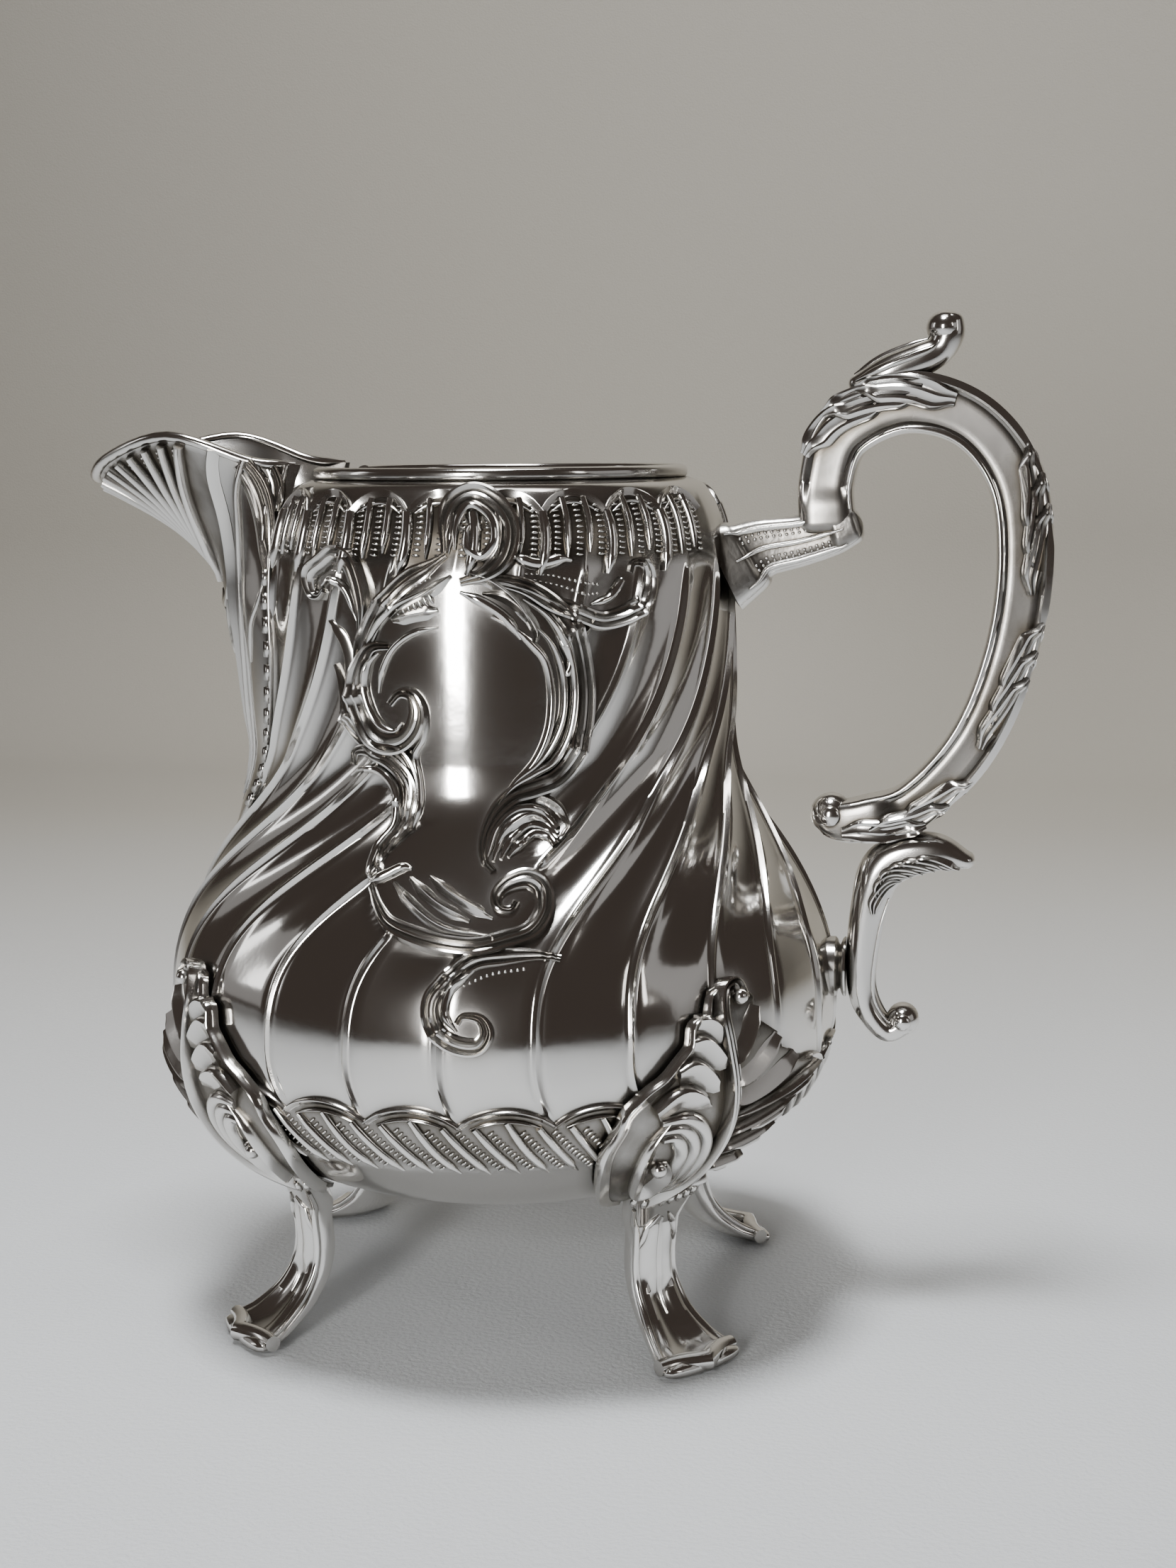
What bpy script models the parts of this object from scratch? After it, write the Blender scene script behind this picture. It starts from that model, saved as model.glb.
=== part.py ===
"""Footed cream jug in silver: raised pear-shaped body, soldered rim band and spout, scroll handle
built from five castings, and four cast legs that hang from acanthus leaf mounts.

Sizes are in metres. X runs from the spout (-X) to the handle (+X), Z is up, and the floor is z = 0.
The pieces are drawn about the body's own axis, then shifted along X so that the origin is at the
middle of the jug's footprint.
"""

import math

import bmesh
import bpy
import numpy as np
from mathutils import Matrix, Vector

# Body, all heights measured from the floor
RIM_HEIGHT = 0.105
RIM_BAND_HEIGHT = 0.0015
RIM_BAND_RADIUS = 0.0227
RIM_BAND_WALL = 0.0011
NECK_RADIUS = 0.0286
BELLY_RADIUS = 0.0414
BELLY_HEIGHT = 0.040
NECK_LENGTH = 0.014
SHOULDER_DROP = 0.019
BASE_HEIGHT = 0.0163
WALL = 0.0009
BELLY_FULLNESS = 2.4
WAIST_FULLNESS = 1.2
SHOULDER_FULLNESS = 2.3

# Gap left where two soldered pieces meet
SOLDER_GAP = 0.0003

# Spout
SPOUT_REACH = 0.052
SPOUT_TIP_DROP = 0.0014
SPOUT_LENGTH = 0.0453
SPOUT_HALF_ANGLE = math.radians(29.5)
SPOUT_WALL = 0.0009
LIP_HALF_WIDTH = 0.0131
LIP_RISE = 0.0038
EAR_RISE = 0.0015
NOTCH_HALF_WIDTH = 0.0100
NOTCH_DEPTH = 0.037

# Handle
HANDLE_REACH = 0.067
HANDLE_HALF_THICKNESS = 0.0034
HANDLE_HALF_WIDTH = 0.0031
HANDLE_RISE = 0.0072
ARM_DROP = 0.0092
ARM_LENGTH = 0.0112
THUMB_RISE = 0.0104
LOOP_END_GAP = 0.0068
LOWER_SCROLL_RISE = 0.0183
SPOOL_HEIGHT = 0.0436
SPOOL_LENGTH = 0.0013
SPOOL_FLANGE_RADIUS = 0.0037
SPOOL_WAIST_RADIUS = 0.0026
LOWER_SCROLL_HALF_WIDTH = 0.0027

# Legs and leaf mounts
LEG_AZIMUTH = math.radians(40)
TOE_INSET = 0.0044
TOE_HALF_WIDTH = 0.0047
SHANK_HALF_WIDTH = 0.0027
SHANK_HALF_DEPTH = 0.0016
LEG_TOP_HALF_WIDTH = 0.0058
LEAF_THICKNESS = 0.0012
LEAF_BOTTOM_HEIGHT = 0.0208
LEAF_TOP_HEIGHT = 0.0485
LEAF_SHELL_ANGLE = math.radians(19.5)
LEAF_FAN_ANGLE = math.radians(15)
LEAF_TIP_ANGLE = math.radians(2.3)
LEAF_ROOT_ANGLE = math.radians(6.9)

# Mesh fineness
ROUND_SEGMENTS = 36
SPOOL_SEGMENTS = 16
PROFILE_STEPS = 7
SWEEP_SIDES = 8

AXIS_X = (SPOUT_REACH - HANDLE_REACH) / 2
BAND_SEAT_HEIGHT = RIM_HEIGHT - RIM_BAND_HEIGHT
SPOUT_SIDE = math.pi
SHOULDER_HEIGHT = RIM_HEIGHT - SHOULDER_DROP
WAIST_HEIGHT = SHOULDER_HEIGHT - NECK_LENGTH
SPOUT_TIP_HEIGHT = RIM_HEIGHT - SPOUT_TIP_DROP
SPOUT_FOOT_HEIGHT = RIM_HEIGHT - SPOUT_LENGTH
NOTCH_FOOT_HEIGHT = RIM_HEIGHT - NOTCH_DEPTH
ARM_HEIGHT = RIM_HEIGHT - ARM_DROP
HANDLE_TOP_HEIGHT = RIM_HEIGHT + HANDLE_RISE
THUMB_HEIGHT = HANDLE_TOP_HEIGHT + THUMB_RISE
LOOP_BACK_REACH = HANDLE_REACH - HANDLE_HALF_THICKNESS
LOOP_FOOT_REACH = NECK_RADIUS + ARM_LENGTH
LOOP_END_HEIGHT = SPOOL_HEIGHT + LOWER_SCROLL_RISE
TOE_RADIUS = BELLY_RADIUS - TOE_INSET


def clear_scene():
    for obj in list(bpy.data.objects):
        bpy.data.objects.remove(obj, do_unlink=True)


def silver(name, color, roughness):
    material = bpy.data.materials.new(name)
    material.use_nodes = True
    shader = material.node_tree.nodes["Principled BSDF"]
    shader.inputs["Base Color"].default_value = (*color, 1)
    shader.inputs["Metallic"].default_value = 1
    shader.inputs["Roughness"].default_value = roughness
    return material


def add_object(name, bm, material=None):
    """Closes the bmesh into an object whose faces point outwards."""
    bmesh.ops.remove_doubles(bm, verts=bm.verts, dist=1e-6)
    bmesh.ops.recalc_face_normals(bm, faces=bm.faces)
    mesh = bpy.data.meshes.new(name)
    bm.to_mesh(mesh)
    bm.free()
    mesh.shade_smooth()
    mesh.set_sharp_from_angle(angle=math.radians(40))
    obj = bpy.data.objects.new(name, mesh)
    bpy.context.scene.collection.objects.link(obj)
    if material:
        mesh.materials.append(material)
    else:
        obj.hide_render = True
        obj.display_type = "WIRE"
    return obj


def cut(obj, *cutters):
    for cutter in cutters:
        modifier = obj.modifiers.new("cut_" + cutter.name, "BOOLEAN")
        modifier.operation = "DIFFERENCE"
        modifier.solver = "EXACT"
        modifier.object = cutter


def smooth_path(points, spans):
    """A Catmull-Rom curve through the points, with `spans` steps between neighbours."""
    points = [np.array(point, float) for point in points]
    ends = [2 * points[0] - points[1], *points, 2 * points[-1] - points[-2]]
    path = []
    for a, b, c, d in zip(ends, ends[1:], ends[2:], ends[3:]):
        for step in range(spans):
            t = step / spans
            path.append(0.5 * (2 * b + (c - a) * t + (2 * a - 5 * b + 4 * c - d) * t**2
                               + (3 * b - a - 3 * c + d) * t**3))
    path.append(points[-1])
    return np.array(path)


def skin_rings(rings):
    """A bmesh skinned over closed rings of equal length, with both ends capped."""
    bm = bmesh.new()
    loops = [[bm.verts.new(point) for point in ring] for ring in rings]
    for lower, upper in zip(loops, loops[1:]):
        for i in range(len(lower)):
            j = (i + 1) % len(lower)
            bm.faces.new((lower[i], lower[j], upper[j], upper[i]))
    bm.faces.new(loops[0])
    bm.faces.new(loops[-1])
    return bm


def skin_sheet(outer, inner):
    """A bmesh between two sheets of points, each indexed by row and column, closed round its edges."""
    bm = bmesh.new()
    sheets = [[[bm.verts.new(point) for point in row] for row in sheet] for sheet in (outer, inner)]
    rows, columns = len(outer), len(outer[0])
    for sheet in sheets:
        for i in range(rows - 1):
            for j in range(columns - 1):
                bm.faces.new((sheet[i][j], sheet[i][j + 1], sheet[i + 1][j + 1], sheet[i + 1][j]))
    border = [(0, j) for j in range(columns)] + [(i, columns - 1) for i in range(1, rows)]
    border += [(rows - 1, j) for j in range(columns - 2, -1, -1)] + [(i, 0) for i in range(rows - 2, 0, -1)]
    for (i, j), (k, m) in zip(border, border[1:] + border[:1]):
        bm.faces.new((sheets[0][i][j], sheets[0][k][m], sheets[1][k][m], sheets[1][i][j]))
    return bm


def sweep(spine, half_depths, half_widths, azimuth=0.0, grow=0.0, spans=3, squareness=2.6):
    """A bar of rounded section along a spine of (radius, height) points, in the plane at `azimuth`.

    The depth lies in that plane and the width across it. `grow` fattens the bar on every side.
    """
    path = smooth_path([(*point, depth, width) for point, depth, width
                        in zip(spine, half_depths, half_widths)], spans)
    centres = path[:, :2]
    tangents = np.gradient(centres, axis=0)
    tangents /= np.linalg.norm(tangents, axis=1)[:, None]
    if grow:
        centres = np.vstack([centres[0] - grow * tangents[0], centres[1:-1],
                             centres[-1] + grow * tangents[-1]])
    turn = Matrix.Rotation(azimuth, 4, "Z")
    rings = []
    for centre, tangent, depth, width in zip(centres, tangents, path[:, 2] + grow, path[:, 3] + grow):
        normal = np.array([-tangent[1], tangent[0]])
        ring = []
        for k in range(SWEEP_SIDES):
            angle = 2 * math.pi * (k + 0.5) / SWEEP_SIDES
            across = math.copysign(abs(math.cos(angle)) ** (2 / squareness), math.cos(angle)) * width
            along = math.copysign(abs(math.sin(angle)) ** (2 / squareness), math.sin(angle)) * depth
            radius, height = centre + normal * along
            ring.append(turn @ Vector((radius, across, height)))
        rings.append(ring)
    return skin_rings(rings)


def turned(profile):
    """A body turned about Z from a closed profile of (radius, height) points."""
    bm = bmesh.new()
    loops = []
    for radius, height in profile:
        if radius < 1e-6:
            loops.append([bm.verts.new((0, 0, height))] * ROUND_SEGMENTS)
            continue
        loops.append([bm.verts.new((radius * math.cos(2 * math.pi * k / ROUND_SEGMENTS),
                                    radius * math.sin(2 * math.pi * k / ROUND_SEGMENTS), height))
                      for k in range(ROUND_SEGMENTS)])
    for lower, upper in zip(loops, loops[1:] + loops[:1]):
        for k in range(ROUND_SEGMENTS):
            j = (k + 1) % ROUND_SEGMENTS
            corners = list(dict.fromkeys((lower[k], lower[j], upper[j], upper[k])))
            if len(corners) > 2:
                bm.faces.new(corners)
    return bm


def body_radius(height):
    """The outer radius of the body: a full belly, a reversed curve up to the neck, and a round shoulder."""
    if height <= BELLY_HEIGHT:
        drop = min((BELLY_HEIGHT - height) / (BELLY_HEIGHT - BASE_HEIGHT), 1)
        return BELLY_RADIUS * (1 - drop**BELLY_FULLNESS) ** (1 / BELLY_FULLNESS)
    if height <= WAIST_HEIGHT:
        rise = (height - BELLY_HEIGHT) / (WAIST_HEIGHT - BELLY_HEIGHT)
        swell = (1 + math.cos(math.pi * rise**WAIST_FULLNESS)) / 2
        return NECK_RADIUS + (BELLY_RADIUS - NECK_RADIUS) * swell
    if height <= SHOULDER_HEIGHT:
        return NECK_RADIUS
    rise = min((height - SHOULDER_HEIGHT) / (BAND_SEAT_HEIGHT - SHOULDER_HEIGHT), 1)
    turn = (1 - rise**SHOULDER_FULLNESS) ** (1 / SHOULDER_FULLNESS)
    return RIM_BAND_RADIUS + (NECK_RADIUS - RIM_BAND_RADIUS) * turn


def body_profile():
    """The body's outer line from the axis under the base to the seat of the rim band."""
    line = []
    depth = BELLY_HEIGHT - BASE_HEIGHT
    for step in range(PROFILE_STEPS + 1):
        angle = math.pi / 2 * step / PROFILE_STEPS
        line.append((BELLY_RADIUS * math.sin(angle) ** (2 / BELLY_FULLNESS),
                     BELLY_HEIGHT - depth * math.cos(angle) ** (2 / BELLY_FULLNESS)))
    for step in range(1, PROFILE_STEPS + 1):
        height = BELLY_HEIGHT + (WAIST_HEIGHT - BELLY_HEIGHT) * step / PROFILE_STEPS
        line.append((body_radius(height), height))
    line.append((NECK_RADIUS, SHOULDER_HEIGHT))
    overhang, rise = NECK_RADIUS - RIM_BAND_RADIUS, BAND_SEAT_HEIGHT - SHOULDER_HEIGHT
    for step in range(1, PROFILE_STEPS + 1):
        angle = math.pi / 2 * step / PROFILE_STEPS
        line.append((RIM_BAND_RADIUS + overhang * math.cos(angle) ** (2 / SHOULDER_FULLNESS),
                     SHOULDER_HEIGHT + rise * math.sin(angle) ** (2 / SHOULDER_FULLNESS)))
    return line


def offset_profile(line, distance):
    """The line moved sideways, outwards where `distance` is positive."""
    line = np.array(line)
    tangents = np.gradient(line, axis=0)
    tangents /= np.linalg.norm(tangents, axis=1)[:, None]
    moved = line + distance * np.column_stack([tangents[:, 1], -tangents[:, 0]])
    moved[0, 0] = 0
    return [tuple(point) for point in moved]


def on_body(azimuth, height, stand_off):
    """A point that stands `stand_off` off the body's surface."""
    step = 1e-5
    slope = (body_radius(height + step) - body_radius(height - step)) / (2 * step)
    length = math.hypot(1, slope)
    radius = body_radius(height) + stand_off / length
    return Vector((radius * math.cos(azimuth), radius * math.sin(azimuth),
                   height - slope * stand_off / length))


def make_body(material, notch):
    outer = body_profile()
    inner = offset_profile(outer, -WALL)
    top = BAND_SEAT_HEIGHT - SOLDER_GAP
    outer[-1] = (RIM_BAND_RADIUS, top)
    inner[-1] = (RIM_BAND_RADIUS - WALL, top)
    body = add_object("body_shell", turned(outer + inner[::-1]), material)
    cut(body, notch)


def make_body_clearance():
    """The filled body, fattened by the solder gap: what every applied piece is fitted to."""
    line = offset_profile(body_profile(), SOLDER_GAP)
    return add_object("body_clearance", turned(line + [(0, line[-1][1])]))


def make_notch():
    """The V cut from the neck behind the spout, which lets the cream run out."""
    outside, inside = -2 * SPOUT_REACH, -RIM_BAND_RADIUS / 3
    top = 2 * RIM_HEIGHT - NOTCH_FOOT_HEIGHT
    corners = [(0, NOTCH_FOOT_HEIGHT), (2 * NOTCH_HALF_WIDTH, top), (-2 * NOTCH_HALF_WIDTH, top)]
    rings = [[Vector((x, y, z)) for y, z in corners] for x in (outside, inside)]
    return add_object("spout_notch", skin_rings(rings))


def make_rim_band(material, notch):
    inner = RIM_BAND_RADIUS - RIM_BAND_WALL
    bevel = RIM_BAND_WALL / 4
    band = add_object("rim_band", turned([
        (RIM_BAND_RADIUS, BAND_SEAT_HEIGHT), (RIM_BAND_RADIUS, RIM_HEIGHT - bevel),
        (RIM_BAND_RADIUS - bevel, RIM_HEIGHT), (inner + bevel, RIM_HEIGHT),
        (inner, RIM_HEIGHT - bevel), (inner, BAND_SEAT_HEIGHT)]), material)
    cut(band, notch)


def spout_section(height, stand_off, half_angle, steps):
    """A level cut through the spout's lower part: from the joint at one side round the nose to the other."""
    joint = on_body(SPOUT_SIDE - half_angle, height, 0)
    nose = -body_radius(height) - stand_off
    pointedness = 2 / 1.5
    section = []
    for step in range(-steps, steps + 1):
        angle = math.pi / 2 * step / steps
        forward = math.cos(angle) ** pointedness
        side = math.copysign(abs(math.sin(angle)) ** pointedness, angle)
        section.append(Vector((joint.x + (nose - joint.x) * forward, joint.y * side, height)))
    return section


def lip_line(steps, inset):
    """The spout's upper edge from one ear over the arched side and the tip to the other ear."""
    back, tip = -RIM_BAND_RADIUS, inset - SPOUT_REACH
    half_width = LIP_HALF_WIDTH - inset
    apex = RIM_HEIGHT + LIP_RISE
    half = [(back, 0.84 * half_width, RIM_HEIGHT + EAR_RISE),
            (back + 0.17 * (tip - back), 0.97 * half_width, RIM_HEIGHT + EAR_RISE / 2),
            (back + 0.52 * (tip - back), half_width, apex),
            (back + 0.86 * (tip - back), 0.60 * half_width, (apex + SPOUT_TIP_HEIGHT) / 2)]
    points = half + [(tip, 0, SPOUT_TIP_HEIGHT)] + [(x, -y, z) for x, y, z in half[::-1]]
    fine = smooth_path(points, steps)
    places = np.linspace(0, len(fine) - 1, 2 * steps + 1).round().astype(int)
    return [Vector(fine[place]) for place in places[::-1]]


def spout_sheet(inset):
    """One face of the spout's wall, `inset` in from the outer face, as rows from its foot to its lip."""
    steps = 8
    throat = RIM_HEIGHT - 0.013
    rows = []
    for share, stand_off, spread in ((0, 0.0012, 0.12), (0.15, 0.0025, 0.42), (0.42, 0.0034, 0.83),
                                     (0.71, 0.0048, 1), (1, 0.0075, 0.97)):
        height = SPOUT_FOOT_HEIGHT + share * (throat - SPOUT_FOOT_HEIGHT)
        half_angle = spread * SPOUT_HALF_ANGLE - inset / body_radius(height)
        rows.append(spout_section(height, stand_off - inset, half_angle, steps))
    base, lip = rows[-1], lip_line(steps, inset)
    run_out, flare_rows = 0.26, 6
    for step in range(1, flare_rows + 1):
        rise = step / flare_rows
        flare = run_out * rise + (1 - run_out) * rise**2
        rows.append([Vector((low.x + (high.x - low.x) * flare, low.y + (high.y - low.y) * flare,
                             low.z + (high.z - low.z) * rise)) for low, high in zip(base, lip)])
    return rows


def make_spout(material, clearance):
    cut(add_object("spout", skin_sheet(spout_sheet(0), spout_sheet(SPOUT_WALL)), material), clearance)


def loop_bar(grow=0.0):
    """The handle's open loop, from its foot on the arm, over the top and down to its curled end."""
    foot, back, top = LOOP_FOOT_REACH, LOOP_BACK_REACH, HANDLE_TOP_HEIGHT
    end = body_radius(LOOP_END_HEIGHT) + LOOP_END_GAP
    rise, drop = top - ARM_HEIGHT, top - LOOP_END_HEIGHT
    depth, tuck = back - foot, back - end
    stations = [
        # radius from the axis, height, thickness and width as shares of the handle's own
        (foot + 0.0003, ARM_HEIGHT + 0.0022, 1.0, 0.8),
        (foot + 0.0002, top - 0.55 * rise, 0.98, 0.85),
        (foot + 0.10 * depth, top - 0.2 * rise, 1.05, 0.95),
        (foot + 0.40 * depth, top, 1.1, 1.0),
        (foot + 0.73 * depth, top - 0.044 * drop, 1.0, 1.0),
        (foot + 0.95 * depth, top - 0.18 * drop, 1.0, 1.0),
        (back, top - 0.38 * drop, 0.98, 1.0),
        (back - 0.065 * tuck, top - 0.60 * drop, 0.94, 0.95),
        (back - 0.235 * tuck, top - 0.805 * drop, 0.9, 0.9),
        (back - 0.51 * tuck, top - 0.954 * drop, 0.88, 0.9),
        (back - 0.75 * tuck, top - 0.994 * drop, 0.9, 0.95),
        (back - 0.90 * tuck, top - drop, 0.85, 0.9),
        (end, top - 0.988 * drop, 0.6, 0.7),
    ]
    return sweep([station[:2] for station in stations],
                 [station[2] * HANDLE_HALF_THICKNESS for station in stations],
                 [station[3] * HANDLE_HALF_WIDTH for station in stations], grow=grow)


def make_handle_arm(material, *cutters):
    foot = LOOP_FOOT_REACH
    arm = sweep(
        [(NECK_RADIUS - WALL, ARM_HEIGHT - 0.0014), (NECK_RADIUS + 0.0022, ARM_HEIGHT - 0.0014),
         (NECK_RADIUS + 0.35 * (foot - NECK_RADIUS), ARM_HEIGHT - 0.0008),
         (foot - 0.0030, ARM_HEIGHT), (foot + 0.0010, ARM_HEIGHT + 0.0006),
         (foot + 0.0038, ARM_HEIGHT + 0.0010)],
        (0.0062, 0.0047, 0.0036, 0.0031, 0.0024, 0.0010), (0.0042, 0.0032, 0.0024, 0.0022, 0.0022, 0.0022))
    cut(add_object("handle_arm", arm, material), *cutters)


def make_thumb_scroll(material, loop_clearance):
    foot, top = LOOP_FOOT_REACH + 0.29 * (LOOP_BACK_REACH - LOOP_FOOT_REACH), HANDLE_TOP_HEIGHT
    thumb = sweep(
        [(foot, top + 0.0028), (foot + 0.0040, top + 0.0044),
         (foot + 0.0068, (top + THUMB_HEIGHT) / 2 + 0.0006), (foot + 0.0077, THUMB_HEIGHT - 0.0022),
         (foot + 0.0079, THUMB_HEIGHT)],
        (0.0010, 0.0014, 0.0015, 0.0020, 0.0012), (0.0018, 0.0024, 0.0020, 0.0026, 0.0016))
    cut(add_object("thumb_scroll", thumb, material), loop_clearance)


def make_handle_spool(material, clearance):
    seat = body_radius(SPOOL_HEIGHT)
    end = spool_end()
    rim = 0.92 * SPOOL_FLANGE_RADIUS
    angles = [2 * math.pi * k / SPOOL_SEGMENTS for k in range(SPOOL_SEGMENTS)]
    rings = []
    for x, radius in ((seat - WALL, SPOOL_FLANGE_RADIUS), (seat + 0.0007, rim),
                      ((seat + end) / 2, SPOOL_WAIST_RADIUS), (end - 0.0005, rim),
                      (end, SPOOL_FLANGE_RADIUS)):
        rings.append([Vector((x, radius * math.cos(angle), SPOOL_HEIGHT + radius * math.sin(angle)))
                      for angle in angles])
    cut(add_object("handle_spool", skin_rings(rings), material), clearance)


def make_handle_lower_scroll(material, loop_clearance):
    """The S-scroll under the loop, flattened at the back where it meets the spool."""
    face = spool_end() + SOLDER_GAP
    back = face + 0.0018
    overhang, seam = LOOP_BACK_REACH - back, LOOP_END_HEIGHT - 0.0044
    scroll = add_object("handle_lower_scroll", sweep(
        [(back + 0.68 * overhang, seam - 0.0002), (back + 0.45 * overhang, seam + 0.0007),
         (back + 0.16 * overhang, seam - 0.0010), (back + 0.0010, SPOOL_HEIGHT + 0.0080),
         (back, SPOOL_HEIGHT), (back + 0.0006, SPOOL_HEIGHT - 0.0045),
         (back + 0.0032, SPOOL_HEIGHT - 0.0078), (back + 0.0054, SPOOL_HEIGHT - 0.0068)],
        (0.0010, 0.0024, 0.0028, 0.0023, 0.0018, 0.0016, 0.0014, 0.0015),
        np.array([0.8, 1.0, 1.0, 1.0, 0.95, 0.85, 0.8, 0.8]) * LOWER_SCROLL_HALF_WIDTH), material)
    cut(scroll, loop_clearance, block_cutter("spool_seat", (face - 0.005, 0, SPOOL_HEIGHT),
                                             (0.010, 0.012, 2.4 * SPOOL_FLANGE_RADIUS)))


def spool_end():
    return body_radius(SPOOL_HEIGHT) + SOLDER_GAP + SPOOL_LENGTH


def block_cutter(name, centre, size):
    bm = bmesh.new()
    bmesh.ops.create_cube(bm, size=1, matrix=Matrix.Translation(centre) @ Matrix.Diagonal((*size, 1)))
    return add_object(name, bm)


def make_handle(material, matted, clearance):
    add_object("handle_loop", loop_bar(), material)
    loop_clearance = add_object("loop_clearance", loop_bar(SOLDER_GAP))
    make_handle_arm(matted, clearance, loop_clearance)
    make_thumb_scroll(material, loop_clearance)
    make_handle_spool(material, clearance)
    make_handle_lower_scroll(material, loop_clearance)


def leaf_grid(azimuth, side, stand_off, edge=0.0):
    """The leaf's surface, as rows from its foot to its tip; `side` is +1 or -1, the side of the open fan."""
    rows = []
    count, columns = 9, 8
    for row in range(count + 1):
        share = row / count if row < count else 1 - 1e-9
        height = LEAF_BOTTOM_HEIGHT - edge + share * (LEAF_TOP_HEIGHT - LEAF_BOTTOM_HEIGHT + 2 * edge)
        root = LEAF_TIP_ANGLE + (1 - share) * LEAF_ROOT_ANGLE + edge / body_radius(height)
        shell = root + LEAF_SHELL_ANGLE * math.sin(math.pi * share**0.72) ** 1.2
        fan = root + LEAF_FAN_ANGLE * math.sin(math.pi * share**0.9) ** 1.3
        low, high = azimuth - side * shell, azimuth + side * fan
        rows.append([on_body(low + (high - low) * column / columns, height, stand_off)
                     for column in range(columns + 1)])
    return rows


def make_leg(name, azimuth, fan_side, material, clearance, floor):
    """One cast leg, from under its leaf mount down a thin shank to a flared toe, and the leaf itself."""
    face = SOLDER_GAP + LEAF_THICKNESS
    add_object("leaf_mount_" + name, skin_sheet(
        leaf_grid(azimuth, fan_side, face), leaf_grid(azimuth, fan_side, SOLDER_GAP)), material)
    leaf_clearance = add_object("leaf_clearance_" + name, skin_sheet(
        leaf_grid(azimuth, fan_side, face + SOLDER_GAP, SOLDER_GAP),
        leaf_grid(azimuth, fan_side, -SOLDER_GAP, SOLDER_GAP)))
    shank = TOE_RADIUS - 0.0101
    top = body_radius(LEAF_BOTTOM_HEIGHT)
    stations = [
        # radius from the axis, height, half depth, half width
        (top + 0.0016, LEAF_BOTTOM_HEIGHT + 0.0006, 0.0015, LEG_TOP_HALF_WIDTH),
        (0.4 * top + 0.6 * shank, LEAF_BOTTOM_HEIGHT - 0.0036, 0.0017, 0.0034),
        (shank + 0.0003, 0.0150, SHANK_HALF_DEPTH, SHANK_HALF_WIDTH),
        (shank, 0.0110, SHANK_HALF_DEPTH, SHANK_HALF_WIDTH),
        (shank + 0.0007, 0.0078, 0.0015, SHANK_HALF_WIDTH),
        (shank + 0.0028, 0.0047, 0.0013, 0.0029),
        (shank + 0.0058, 0.0022, 0.0012, 0.0038),
        (shank + 0.0082, 0.0008, 0.0012, TOE_HALF_WIDTH),
        (TOE_RADIUS - 0.0002, 0.0003, 0.0012, TOE_HALF_WIDTH),
    ]
    leg = sweep([station[:2] for station in stations], [station[2] for station in stations],
                [station[3] for station in stations], azimuth=azimuth)
    cut(add_object("leg_" + name, leg, material), clearance, leaf_clearance, floor)


def main():
    clear_scene()
    polished = silver("polished_silver", (0.90, 0.89, 0.87), 0.12)
    cast = silver("cast_silver", (0.86, 0.85, 0.82), 0.20)
    matted = silver("matted_silver", (0.80, 0.79, 0.76), 0.35)
    notch = make_notch()
    clearance = make_body_clearance()
    wide = 4 * BELLY_RADIUS
    floor = block_cutter("floor_cutter", (0, 0, -wide / 2), (wide, wide, wide))
    make_body(polished, notch)
    make_rim_band(polished, notch)
    make_spout(cast, clearance)
    make_handle(cast, matted, clearance)
    make_leg("handle_near", -LEG_AZIMUTH, 1, cast, clearance, floor)
    make_leg("handle_far", LEG_AZIMUTH, -1, cast, clearance, floor)
    make_leg("spout_near", LEG_AZIMUTH - math.pi, -1, cast, clearance, floor)
    make_leg("spout_far", math.pi - LEG_AZIMUTH, 1, cast, clearance, floor)
    jug = bpy.data.objects.new("jug_axis", None)
    bpy.context.scene.collection.objects.link(jug)
    for obj in bpy.context.scene.objects:
        if obj is not jug:
            obj.parent = jug
    jug.location.x = AXIS_X


main()
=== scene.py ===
"""Silver cream jug: the raised, chased and cast silver that is seen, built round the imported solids.

The helpers work in millimetres about the jug's own upright axis, with angles in degrees, the
spout at 180 and the handle at 0. make_mesh turns them into metres in the frame's own axes.
"""

import math

import bmesh
import bpy
import numpy as np
from mathutils import Matrix, Vector


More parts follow.
